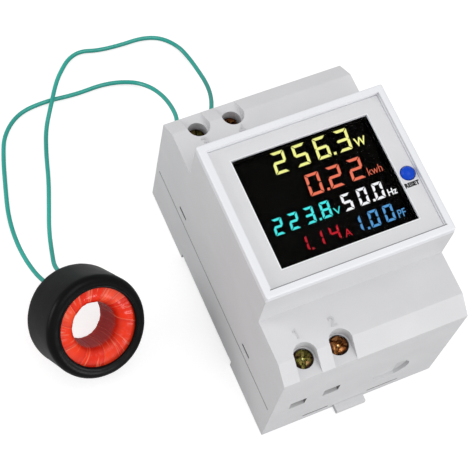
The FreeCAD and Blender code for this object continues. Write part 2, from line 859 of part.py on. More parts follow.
def ct_sleeve():
    """The shrink sleeve round the transformer, with its lips over both faces."""
    outer, half, bend = ring_radius, ring_width / 2, ring_edge_radius
    inner = ring_radius - sleeve_wall
    under = half - sleeve_lip_thickness
    lip = sleeve_lip_radius
    round_in = bend / 2
    ledge = inner - round_in
    edges = [
        line((outer, -half + bend), (outer, half - bend)),
        corner((outer, half - bend), (outer - bend, half - bend), bend, (outer - bend, half)),
        line((outer - bend, half), (lip, half)),
        line((lip, half), (lip, under)),
        line((lip, under), (ledge, under)),
        corner((ledge, under), (ledge, under - round_in), round_in, (inner, under - round_in)),
        line((inner, under - round_in), (inner, -under + round_in)),
        corner((inner, -under + round_in), (ledge, -under + round_in), round_in, (ledge, -under)),
        line((ledge, -under), (lip, -under)),
        line((lip, -under), (lip, -half)),
        line((lip, -half), (outer - bend, -half)),
        corner((outer - bend, -half), (outer - bend, -half + bend), bend, (outer, -half + bend)),
    ]
    return place_ring(turned(edges))


def ct_tape():
    """The tape wrapped through the bore and over both faces of the coil."""
    outer = ring_radius - sleeve_wall - ring_edge_radius / 2 - tape_gap
    half = ring_width / 2 - sleeve_lip_thickness - tape_gap
    bore, straight = ring_bore_radius, ring_bore_length / 2
    bend = half - straight
    inner, inner_half = bore + tape_thickness, half - tape_thickness
    turn = bend - tape_thickness
    middle = inner + turn
    edges = [
        line((bore, -straight), (bore, straight)),
        corner((bore, straight), (bore + bend, straight), bend, (bore + bend, half)),
        line((bore + bend, half), (outer, half)),
        line((outer, half), (outer, inner_half)),
        line((outer, inner_half), (middle, inner_half)),
        corner((middle, inner_half), (middle, straight), turn, (inner, straight)),
        line((inner, straight), (inner, -straight)),
        corner((inner, -straight), (middle, -straight), turn, (middle, -inner_half)),
        line((middle, -inner_half), (outer, -inner_half)),
        line((outer, -inner_half), (outer, -half)),
        line((outer, -half), (bore + bend, -half)),
        corner((bore + bend, -half), (bore + bend, -straight), bend, (bore, -straight)),
    ]
    return place_ring(turned(edges))


def rounded_ring(inner, outer, half, bend):
    """A ring about Z whose square section has rounded corners."""
    low, high = inner + bend, outer - bend
    flat = half - bend
    edges = [
        line((low, -half), (high, -half)),
        corner((high, -half), (high, -flat), bend, (outer, -flat)),
        line((outer, -flat), (outer, flat)),
        corner((outer, flat), (high, flat), bend, (high, half)),
        line((high, half), (low, half)),
        corner((low, half), (low, flat), bend, (inner, flat)),
        line((inner, flat), (inner, -flat)),
        corner((inner, -flat), (low, -flat), bend, (low, -half)),
    ]
    return turned(edges)


def winding_sizes():
    """The inner radius, outer radius and half width of the transformer's winding."""
    inner = ring_bore_radius + tape_thickness + tape_gap
    half = ring_width / 2 - sleeve_lip_thickness - 2 * tape_gap - tape_thickness
    return inner, ring_radius - sleeve_wall - tape_gap, half


def bare_core():
    """The wound strip core, about Z at the origin."""
    inner, outer, half = winding_sizes()
    wall = winding_thickness
    return rounded_ring(inner + wall, outer - wall, half - wall, core_edge_radius)


def ct_core():
    """The core in its place inside the winding."""
    return place_ring(bare_core())


def ct_winding():
    """The secondary winding, as the ring that its layers fill round the core."""
    inner, outer, half = winding_sizes()
    coil = rounded_ring(inner, outer, half, half - ring_bore_length / 2)
    return place_ring(coil.cut(bare_core()))


def ring_exit(number):
    """Where a wire leaves the sleeve's back face, and the point to which it then runs straight."""
    axis, level, upward = ring_axes()
    side = ring_exit_side[number]
    outward = level * side + upward * math.sqrt(1 - side * side)
    centre = Vector(ring_x, ring_y, ring_height())
    leave = centre - axis * (ring_width / 2) + outward * ring_exit_radius
    return leave, leave - axis * ring_exit_run


def wire_route(number):
    """The whole list of points of one wire, from its terminal to the ring."""
    x = terminal_place(number)[0]
    leave, ahead = ring_exit(number)
    points = [Vector(x, wire_inner_end, wire_height), Vector(x, wire_straight_end, wire_height)]
    points += [Vector(*point) for point in wire_middle[number]]
    return points + [ahead, leave]


def ct_wire(number):
    """One green wire: a tube along straight runs that are joined by tangent arcs."""
    points = wire_route(number)
    edges, here, radii = [], points[0], []
    for before, point, after in zip(points, points[1:], points[2:]):
        back, ahead = before - point, after - point
        half_turn = (math.pi - back.getAngle(ahead)) / 2
        reach = blend_share * min(back.Length, ahead.Length)
        radius = reach / math.tan(half_turn)
        start = point + back.normalize() * reach
        stop = point + ahead.normalize() * reach
        bisector = (back + ahead).normalize()
        middle = point + bisector * (radius / math.cos(half_turn) - radius)
        edges += [Part.LineSegment(here, start).toShape(), Part.Arc(start, middle, stop).toShape()]
        here = stop
        radii.append(radius)
    edges.append(Part.LineSegment(here, points[-1]).toShape())
    path = Part.Wire(edges)
    section = Part.Wire(Part.Circle(points[0], points[1] - points[0], wire_diameter / 2).toShape())
    tube = path.makePipeShell([section], True, False)
    expected = math.pi * wire_diameter ** 2 / 4 * path.Length
    print("wire", number, "length", round(path.Length, 1), "volume share", round(tube.Volume / expected, 4),
          "radii", [round(radius, 1) for radius in radii])
    return tube


def wire_strand(number):
    """The bared end of a wire under its clamp plate."""
    start = Vector(terminal_place(number)[0], wire_inner_end, wire_height)
    return Part.makeCylinder(strand_diameter / 2, strand_length, start, Vector(0, -1, 0))


def build_pieces():
    """Every piece of the meter under the name of its node."""
    lower_header, upper_header, cable_web = flat_cable()
    pieces = {
        "rear_case": rear_case(),
        "upper_case": upper_case(),
        "bezel_frame": bezel_frame(),
        "front_label": front_label(),
        "display_lens": display_lens(),
        "lcd_glass": lcd_glass(),
        "lcd_tray": lcd_tray(),
        "backlight": backlight(),
        "lcd_pins": lcd_pins(),
        "display_board": display_board(),
        "display_screws": display_screws(),
        "reset_button": reset_button(),
        "switch_body": switch_body(),
        "switch_plunger": switch_plunger(),
        "main_board": main_board(),
        "board_screws": board_screws(),
        "supply_capacitor": block_part(*supply_capacitor),
        "supply_transformer": block_part(*supply_transformer),
        "metering_chip": block_part(*metering_chip),
        "rectifier_block": block_part(*rectifier_block),
        "fuse_block": block_part(*fuse_block),
        "reservoir_can": round_can(flat_cable_x, reservoir_can_y, reservoir_can_radius, reservoir_can_height),
        "output_can": round_can(flat_cable_x, output_can_y, output_can_radius, output_can_height),
        "surge_disc": surge_disc(),
        "burden_resistor": burden_resistor(),
        "lower_header": lower_header,
        "upper_header": upper_header,
        "flat_cable": cable_web,
        "din_latch": din_latch(),
        "latch_spring": latch_spring(),
        "ct_core": ct_core(),
        "ct_winding": ct_winding(),
        "ct_tape": ct_tape(),
        "ct_sleeve": ct_sleeve(),
    }
    for number in terminals:
        pieces[f"terminal_screw_{number}"] = terminal_screw(number)
        pieces[f"clamp_plate_{number}"] = clamp_plate(number)
        pieces[f"terminal_cage_{number}"] = terminal_cage(number)
        pieces[f"contact_bar_{number}"] = contact_bar(number)
    for number in ring_exit_side:
        pieces[f"ct_wire_{number}"] = ct_wire(number)
        pieces[f"wire_strand_{number}"] = wire_strand(number)
    return pieces


def main():
    """Build every piece and write one STEP file for each."""
    os.makedirs("parts", exist_ok=True)
    for name, shape in build_pieces().items():
        shape.exportStep(f"parts/{name}.step")
        print(name, "solids", len(shape.Solids), "valid", shape.isValid(), "volume", round(shape.Volume, 1))


if __name__ == "__main__":
    main()
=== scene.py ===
"""Looks of the rail-mounted energy meter and its ring current transformer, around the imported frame.

The model's frame is in metres: X to the right, Y towards the end with terminals 3 and 4, Z out of the
front. The meter lies on its back. Sizes are in millimetres where a docstring says so.
"""

import json
import logging
import math
from collections.abc import Callable, Sequence
from dataclasses import dataclass, field
from enum import Enum

import bmesh
import bpy
from bmesh.types import BMesh, BMVert
from bpy.types import Material, Node, NodeSocket, NodeTree, Object
from mathutils import Matrix, Vector, noise
from mathutils.bvhtree import BVHTree

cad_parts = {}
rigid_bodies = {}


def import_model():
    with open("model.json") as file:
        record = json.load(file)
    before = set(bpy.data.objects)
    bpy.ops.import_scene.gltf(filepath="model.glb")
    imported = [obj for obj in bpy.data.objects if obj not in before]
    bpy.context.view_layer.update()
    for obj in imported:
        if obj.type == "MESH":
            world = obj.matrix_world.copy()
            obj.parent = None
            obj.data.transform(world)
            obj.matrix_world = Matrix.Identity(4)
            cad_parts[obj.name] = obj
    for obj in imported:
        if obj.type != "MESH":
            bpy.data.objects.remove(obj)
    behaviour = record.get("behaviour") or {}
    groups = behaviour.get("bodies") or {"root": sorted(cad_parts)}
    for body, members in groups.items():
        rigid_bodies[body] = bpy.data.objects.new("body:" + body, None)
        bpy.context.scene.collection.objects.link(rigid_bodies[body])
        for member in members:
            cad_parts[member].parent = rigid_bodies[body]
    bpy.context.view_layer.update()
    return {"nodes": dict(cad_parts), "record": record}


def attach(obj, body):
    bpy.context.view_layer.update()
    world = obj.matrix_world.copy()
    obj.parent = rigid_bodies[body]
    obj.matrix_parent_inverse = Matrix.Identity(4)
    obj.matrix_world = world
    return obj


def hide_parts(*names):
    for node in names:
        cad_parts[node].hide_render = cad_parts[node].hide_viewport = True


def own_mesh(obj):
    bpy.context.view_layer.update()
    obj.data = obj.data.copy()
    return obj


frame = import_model()
LOG = logging.getLogger("meter")
MM = 0.001
WELD = 0.0005 * MM
COARSE_WELD = 0.002 * MM
FLAT_TURN = math.radians(0.4)

Colour = tuple[float, float, float]
Point = tuple[float, float, float]
Pair = tuple[float, float]
Outline = list[Pair]


def srgb(red: int, green: int, blue: int) -> Colour:
    """Turn a colour as it looks, with shares from 0 to 255, into linear light."""
    shares = (value / 255 for value in (red, green, blue))
    return tuple(share / 12.92 if share <= 0.04045 else ((share + 0.055) / 1.055) ** 2.4 for share in shares)


def shaded(colour: Colour, share: float = 1.0) -> tuple[float, float, float, float]:
    """Scale a colour and add the alpha that node sockets want."""
    return (*(min(1.0, channel * share) for channel in colour), 1.0)


def link_new(name: str, data: bpy.types.ID) -> Object:
    """Make an object and link it to the scene.

    Args:
        name: The object's name.
        data: Its mesh, curve, camera or light.

    Returns:
        The object.
    """
    made = bpy.data.objects.new(name, data)
    bpy.context.scene.collection.objects.link(made)
    return made


class Graph:
    """A node tree that is being built: a material, a shader effect or a geometry rule."""

    def __init__(self, tree: NodeTree) -> None:
        """Take the tree to build in."""
        self.tree = tree

    def feed(self, value: object, socket: NodeSocket) -> None:
        """Link an output socket to an input, or else set the input's value.

        Args:
            value: The output socket or the value.
            socket: The input.
        """
        if isinstance(value, NodeSocket):
            self.tree.links.new(value, socket)
        else:
            socket.default_value = value

    def add(self, kind: str, inputs: dict[str | int, object] | None = None, **settings: object) -> Node:
        """Add one node.

        Args:
            kind: The node's type.
            inputs: Values or output sockets by the name or number of the input.
            **settings: Properties of the node.

        Returns:
            The new node.
        """
        node = self.tree.nodes.new(kind)
        for name, value in settings.items():
            setattr(node, name, value)
        for key, value in (inputs or {}).items():
            self.feed(value, node.inputs[key])
        return node

    def math(self, operation: str, first: object, second: object = 0.0) -> NodeSocket:
        """Add a Math node and return its value."""
        return self.add("ShaderNodeMath", {0: first, 1: second}, operation=operation).outputs[0]

    def times(self, first: object, second: object) -> NodeSocket:
        """Multiply two values."""
        return self.math("MULTIPLY", first, second)

    def plus(self, first: object, second: object) -> NodeSocket:
        """Add up two values."""
        return self.math("ADD", first, second)

    def vector(self, operation: str, first: object, second: object = (0.0, 0.0, 0.0)) -> NodeSocket:
        """Add a Vector Math node and return its vector."""
        return self.add("ShaderNodeVectorMath", {0: first, 1: second}, operation=operation).outputs[0]

    def apart(self, vector: NodeSocket) -> tuple[NodeSocket, ...]:
        """Split a vector into its three values."""
        return tuple(self.add("ShaderNodeSeparateXYZ", {0: vector}).outputs)

    def mix(self, factor: object, first: object, second: object) -> NodeSocket:
        """Add a colour Mix node and return its colour."""
        return self.add("ShaderNodeMix", {0: factor, 6: first, 7: second}, data_type="RGBA").outputs[2]

    def spread(self, value: object, low: object, high: float, start: float = 0.0,
               stop: float = 1.0) -> NodeSocket:
        """Map a value to another range.

        Args:
            value: The value.
            low: What start becomes.
            high: What stop becomes.
            start: The low end of the value's range.
            stop: The high end of the value's range.

        Returns:
            The mapped value.
        """
        names = ("Value", "From Min", "From Max", "To Min", "To Max")
        return self.add("ShaderNodeMapRange", dict(zip(names, (value, start, stop, low, high)))).outputs[0]

    def noise(self, vector: object, scale: object, detail: float = 3.0) -> NodeSocket:
        """Add a Noise Texture and return its factor."""
        return self.add("ShaderNodeTexNoise", {"Vector": vector, "Scale": scale, "Detail": detail}).outputs[0]

    def place(self) -> NodeSocket:
        """Add the point's object coordinates."""
        return self.add("ShaderNodeTexCoord").outputs["Object"]


class Effect(Enum):
    """The shader effects that several materials share."""

    GRAIN = "surface_grain"
    MARKS = "handling_marks"
    DRAWN = "drawn_lines"


class EffectShop:
    """Builds each shared shader effect once, as a node group."""

    def __init__(self) -> None:
        """Start with no effect built."""
        self.built: dict[Effect, NodeTree] = {}

    def get(self, effect: Effect) -> NodeTree:
        """Return an effect's node group, and build it at first use.

        Args:
            effect: Which effect.

        Returns:
            The node group, which takes a Scale.
        """
        if effect not in self.built:
            tree = bpy.data.node_groups.new(effect.value, "ShaderNodeTree")
            tree.interface.new_socket(name="Scale", in_out="INPUT", socket_type="NodeSocketFloat")
            graph = Graph(tree)
            maker = {Effect.GRAIN: self.grain, Effect.MARKS: self.marks, Effect.DRAWN: self.drawn}[effect]
            results = maker(graph, graph.add("NodeGroupInput").outputs["Scale"])
            for name in results:
                tree.interface.new_socket(name=name, in_out="OUTPUT", socket_type="NodeSocketFloat")
            graph.add("NodeGroupOutput", results)
            self.built[effect] = tree
        return self.built[effect]

    @staticmethod
    def grain(graph: Graph, scale: NodeSocket) -> dict[str, NodeSocket]:
        """Fine spark-eroded mould grain, with a slow drift in tone.

        Args:
            graph: The group's tree.
            scale: How fine the grain is.

        Returns:
            The height and the tone.
        """
        place = graph.place()
        fine = graph.noise(place, scale, 2.0)
        coarse = graph.noise(place, graph.times(scale, 0.3), 2.0)
        height = graph.plus(graph.times(fine, 0.6), graph.times(coarse, 0.4))
        tone = graph.noise(place, graph.times(scale, 0.012), 4.0)
        return {"Height": height, "Tone": graph.spread(tone, 0.0, 1.0, 0.3, 0.7)}

    @staticmethod
    def marks(graph: Graph, scale: NodeSocket) -> dict[str, NodeSocket]:
        """Smudges and faint rubbed streaks from handling.

        Args:
            graph: The group's tree.
            scale: How fine the marks are.

        Returns:
            The mask.
        """
        place = graph.place()
        smudge = graph.spread(graph.noise(place, scale, 5.0), 0.0, 1.0, 0.42, 0.72)
        turn, stretch = (0.3, 0.2, 0.7), (1, 14, 5)
        drawn = graph.add("ShaderNodeMapping", {"Vector": place, "Rotation": turn, "Scale": stretch})
        streak = graph.spread(graph.noise(drawn.outputs[0], scale), 0.0, 0.5, 0.62, 0.75)
        return {"Mask": graph.math("MAXIMUM", smudge, streak)}

    @staticmethod
    def drawn(graph: Graph, scale: NodeSocket) -> dict[str, NodeSocket]:
        """Lines that rolling or turning leaves in metal.

        Args:
            graph: The group's tree.
            scale: How fine the lines are.

        Returns:
            The height and the tone.
        """
        place = graph.place()
        along = graph.add("ShaderNodeMapping", {"Vector": place, "Scale": (1.0, 0.06, 1.0)})
        tone = graph.spread(graph.noise(place, graph.times(scale, 0.08)), 0.0, 1.0, 0.35, 0.65)
        return {"Height": graph.noise(along.outputs[0], scale), "Tone": tone}


EFFECTS = EffectShop()


class Surface(Graph):
    """A material's tree around its one Principled shader."""

    def __init__(self, name: str, **values: object) -> None:
        """Start the material.

        Args:
            name: Its name.
            **values: Constants of the shader, with underscores for the spaces in the sockets' names.
        """
        self.material = bpy.data.materials.new(name)
        self.material.use_nodes = True
        super().__init__(self.material.node_tree)
        self.dress(**values)

    def dress(self, **values: object) -> Material:
        """Give the shader values or links.

        Args:
            **values: What each socket gets, by its name with underscores for spaces.

        Returns:
            The material.
        """
        for key, value in values.items():
            self.feed(value, self.tree.nodes["Principled BSDF"].inputs[key.replace("_", " ")])
        return self.material

    def effect(self, effect: Effect, scale: float) -> bpy.types.NodeOutputs:
        """Add a shared effect and return its outputs."""
        return self.add("ShaderNodeGroup", {"Scale": scale}, node_tree=EFFECTS.get(effect)).outputs

    def relief(self, height: NodeSocket, depth: float) -> NodeSocket:
        """Add a Bump node and return its normal."""
        return self.add("ShaderNodeBump", {"Height": height, "Distance": depth}).outputs[0]


@dataclass(frozen=True)
class PaintedShade:
    """Painted shade in a narrow opening: a box in millimetres, mirrored where it says so, darkened by a
    share.
    """

    low: Point
    high: Point
    depth: float
    mirrored: bool = False

    def mask(self, graph: Graph) -> NodeSocket:
        """Make the nodes that tell how much painted shade a point gets.

        Args:
            graph: The tree to build in.

        Returns:
            The mask.
        """
        low, high = Vector(self.low) * MM, Vector(self.high) * MM
        place = graph.place()
        if self.mirrored:
            place = graph.vector("ABSOLUTE", place)
        far = graph.vector("ABSOLUTE", graph.vector("SUBTRACT", place, (low + high) / 2))
        over = graph.apart(graph.vector("SUBTRACT", far, (high - low) / 2))
        most = graph.math("MAXIMUM", graph.math("MAXIMUM", over[0], over[1]), over[2])
        return graph.times(graph.math("LESS_THAN", most, 0.0), self.depth)


@dataclass(frozen=True)
class Plastic:
    """Moulded, painted or printed plastic with a fine grain, faint handling marks and painted shade in boxes.
    """

    name: str
    colour: Colour
    roughness: float = 0.42
    grain_size: float = 0.12 * MM
    grain_depth: float = 0.006 * MM
    drift: float = 0.05
    coat: float = 0.0
    specular: float = 0.5
    dulling: float = 0.10
    mark_share: float = 0.25
    painted_shade_tone: float = 0.03
    painted_shades: tuple[PaintedShade, ...] = ()

    def build(self) -> Material:
        """Make the material.

        Returns:
            The material.
        """
        graph = Surface(self.name, Coat_Weight=self.coat, Coat_Roughness=0.08,
                        Specular_IOR_Level=self.specular)
        grain = graph.effect(Effect.GRAIN, 1 / self.grain_size)
        mark = graph.effect(Effect.MARKS, 90.0)["Mask"]
        low, high = shaded(self.colour, 1 - self.drift), shaded(self.colour, 1 + self.drift / 3)
        colour = graph.mix(grain["Tone"], low, high)
        colour = graph.mix(graph.times(mark, self.mark_share), colour, low)
        # Painted shade: the colour is darkened inside each box.
        for shade in self.painted_shades:
            colour = graph.mix(shade.mask(graph), colour, shaded(self.colour, self.painted_shade_tone))
        rough = graph.spread(mark, self.roughness, self.roughness + self.dulling)
        return graph.dress(Base_Color=colour, Roughness=rough,
                           Normal=graph.relief(grain["Height"], self.grain_depth))


@dataclass(frozen=True)
class Metal:
    """Plated or bare metal with tints, from passivation or, on screws, painted shade, reflection and glints.
    """

    name: str
    colour: Colour
    tints: tuple[Colour, ...] = ()
    roughness: float = 0.28
    tint_size: float = 1.4 * MM
    line_size: float = 0.09 * MM
    line_depth: float = 0.004 * MM
    tint_start: float = 0.36
    tint_range: float = 0.28
    tint_share: float = 0.72

    def build(self) -> Material:
        """Make the material.

        Returns:
            The material.
        """
        graph = Surface(self.name, Metallic=1.0)
        lines = graph.effect(Effect.DRAWN, 1 / self.line_size)
        colour = graph.mix(lines["Tone"], shaded(self.colour, 0.82), shaded(self.colour, 1.06))
        if self.tints:
            cloud = graph.noise(graph.place(), 1 / self.tint_size, 2.0)
            ramp = graph.add("ShaderNodeValToRGB", {0: cloud})
            elements = ramp.color_ramp.elements
            stops = (self.colour, *self.tints)
            while len(elements) < len(stops):
                elements.new(0.5)
            for number, (element, tint) in enumerate(zip(elements, stops)):
                element.position = self.tint_start + self.tint_range * number / (len(stops) - 1)
                element.color = shaded(tint)
            colour = graph.mix(self.tint_share, colour, ramp.outputs[0])
        rough = graph.spread(lines["Tone"], self.roughness * 0.8, self.roughness * 1.3)
        relief = graph.relief(lines["Height"], self.line_depth)
        return graph.dress(Base_Color=colour, Roughness=rough, Normal=relief)


@dataclass(frozen=True)
class Laminate:
    """A circuit board: solder resist over a web of copper tracks."""

    name: str
    resist: Colour = srgb(18, 92, 52)
    track: Colour = srgb(40, 128, 74)
    track_pitch: float = 1.6 * MM

    def build(self) -> Material:
        """Make the material.

        Returns:
            The material.
        """
        graph = Surface(self.name, Coat_Weight=0.3, Coat_Roughness=0.2)
        cells = graph.add("ShaderNodeTexVoronoi", {"Vector": graph.place(), "Scale": 0.35 / self.track_pitch},
                          distance="MANHATTAN", feature="F1")
        ways = graph.math("PINGPONG", graph.times(cells.outputs["Distance"], 4.0), 0.5)
        mask = graph.spread(ways, 0.0, 1.0, 0.2, 0.26)
        tone = graph.effect(Effect.GRAIN, 2500.0)["Tone"]
        return graph.dress(Base_Color=graph.mix(mask, shaded(self.resist), shaded(self.track)),
                           Roughness=graph.spread(tone, 0.32, 0.45), Normal=graph.relief(mask, 0.03 * MM))


@dataclass(frozen=True)
class Jacket:
    """A wire's drawn insulation, slightly glossy, or a ribbon of such wires side by side."""

    name: str
    colour: Colour
    dark: Colour
    pitch: float = 0.0

    def build(self) -> Material:
        """Make the material.

        Returns:
            The material.
        """
        graph = Surface(self.name, Specular_IOR_Level=0.55, Coat_Weight=0.35, Coat_Roughness=0.14)
        grain = graph.effect(Effect.GRAIN, 3500.0)
        colour = graph.mix(grain["Tone"], shaded(self.dark), shaded(self.colour))
        height = grain["Height"]
        if self.pitch:
            across = graph.apart(graph.place())[1]
            height = graph.math("PINGPONG", graph.math("DIVIDE", across, self.pitch), 0.5)
            # Painted shade: a ribbon is darker towards the grooves between its wires.
            colour = graph.mix(graph.spread(height, 0.0, 0.5, 0.0, 0.12), shaded(self.dark, 0.6), colour)
        mark = graph.effect(Effect.MARKS, 160.0)["Mask"]
        return graph.dress(Base_Color=colour, Roughness=graph.spread(mark, 0.30, 0.46),
                           Normal=graph.relief(height, 0.008 * MM))


@dataclass(frozen=True)
class Film:
    """Glossy red film tape: wraps get painted sheen and shade, and creases with painted highlights run along
    it.
    """

    name: str
    colour: Colour = srgb(247, 49, 12)
    # The second colour is painted shade, the third a painted sheen and the fourth the painted highlight of
    # wrap edges and creases.
    painted_shade_red: Colour = srgb(190, 28, 26)
    pale: Colour = srgb(250, 84, 48)
    fold: Colour = srgb(255, 136, 104)
    wraps: float = 11.0
    twist: float = 1.8
    slant: float = 0.12
    seed: float = 5.3
    bore_share: float = 0.327
    crease_size: float = 10.5
    relief: float = 0.16 * MM

    def build(self) -> Material:
        """Make the material, which reads how far round the ring and along the section a point is.

        Returns:
            The material.
        """
        graph = Surface(self.name, Specular_IOR_Level=0.26)
        turn, along, _ = graph.apart(graph.add("ShaderNodeUVMap", uv_map="wrap").outputs[0])
        inward = graph.math("ABSOLUTE", graph.math("SUBTRACT", along, self.bore_share))
        loop = graph.times(graph.plus(turn, graph.times(inward, self.slant)), 2 * math.pi)
        level = graph.spread(along, self.seed, self.seed + 0.2)
        circle = {0: graph.math("COSINE", loop), 1: graph.math("SINE", loop), 2: level}
        around = graph.add("ShaderNodeCombineXYZ", circle).outputs[0]
        phase = graph.plus(graph.times(turn, self.wraps), graph.times(graph.noise(around, 1.7, 1.0), 3.5))
        phase = graph.plus(phase, graph.times(inward, self.twist))
        step = graph.math("FRACT", phase)
        which = graph.math("MODULO", graph.math("FLOOR", phase), self.wraps)
        chance = graph.add("ShaderNodeTexWhiteNoise", {"W": which}, noise_dimensions="1D").outputs["Value"]
        edge = graph.spread(step, 1.0, 0.0, 0.0, 0.05)
        crease = graph.noise(around, self.crease_size, 2.0)
        rising = graph.spread(crease, 0.0, 1.0, 0.60, 0.64)
        falling = graph.spread(crease, 1.0, 0.0, 0.64, 0.70)
        bore = graph.spread(inward, 1.0, 0.0, 0.04, 0.16)
        lines = graph.times(graph.times(rising, falling), graph.spread(bore, 1.0, 0.3))
        # Painted sheen: some wraps, picked at random, are paler, as if they caught the light.
        colour = graph.mix(graph.spread(chance, 0.0, 0.85, 0.45, 1.0), shaded(self.colour), shaded(self.pale))
        # Painted shade: each wrap darkens towards its step.
        colour = graph.mix(graph.spread(step, 0.0, 0.55, 0.2, 1.0), colour, shaded(self.painted_shade_red, 1.25))
        # Painted shade in the bore.
        colour = graph.mix(bore, colour, shaded(self.painted_shade_red, 0.9))
        # Painted highlights along each wrap's edge and along the crease lines.
        for mask, share in ((edge, 0.9), (lines, 0.7)):
            colour = graph.mix(graph.times(mask, share), colour, shaded(self.fold))
        height = graph.plus(step, graph.times(crease, 0.7))
        height = graph.times(height, graph.spread(bore, 1.0, 0.25))
        return graph.dress(Base_Color=colour, Roughness=graph.spread(chance, 0.2, 0.36),
                           Normal=graph.relief(height, self.relief))


@dataclass(frozen=True)
class Lens:
    """A clear window with a soft sheen."""

    name: str
    tint: Colour = (0.92, 0.93, 0.95)

    def build(self) -> Material:
        """Make the material.

        Returns:
            The material.
        """
        graph = Surface(self.name, Transmission_Weight=1.0, IOR=1.03)
        tone = graph.effect(Effect.GRAIN, 4000.0)["Tone"]
        mark = graph.effect(Effect.MARKS, 110.0)["Mask"]
        return graph.dress(Base_Color=graph.mix(tone, shaded(self.tint), shaded(self.tint, 1.05)),
                           Roughness=graph.spread(mark, 0.02, 0.07))


@dataclass(frozen=True)
class Glow:
    """A lit segment of the display, a little uneven."""

    name: str
    colour: Colour

    def build(self) -> Material:
        """Make the material.

        Returns:
            The material.
        """
        graph = Surface(self.name, Emission_Strength=0.92, Roughness=0.6, Specular_IOR_Level=0.1)
        grain = graph.effect(Effect.GRAIN, 5000.0)
        lit = graph.mix(grain["Height"], shaded(self.colour, 0.92), shaded(self.colour, 1.06))
        base = graph.mix(grain["Tone"], shaded(self.colour, 0.04), shaded(self.colour, 0.07))
        return graph.dress(Emission_Color=lit, Base_Color=base)


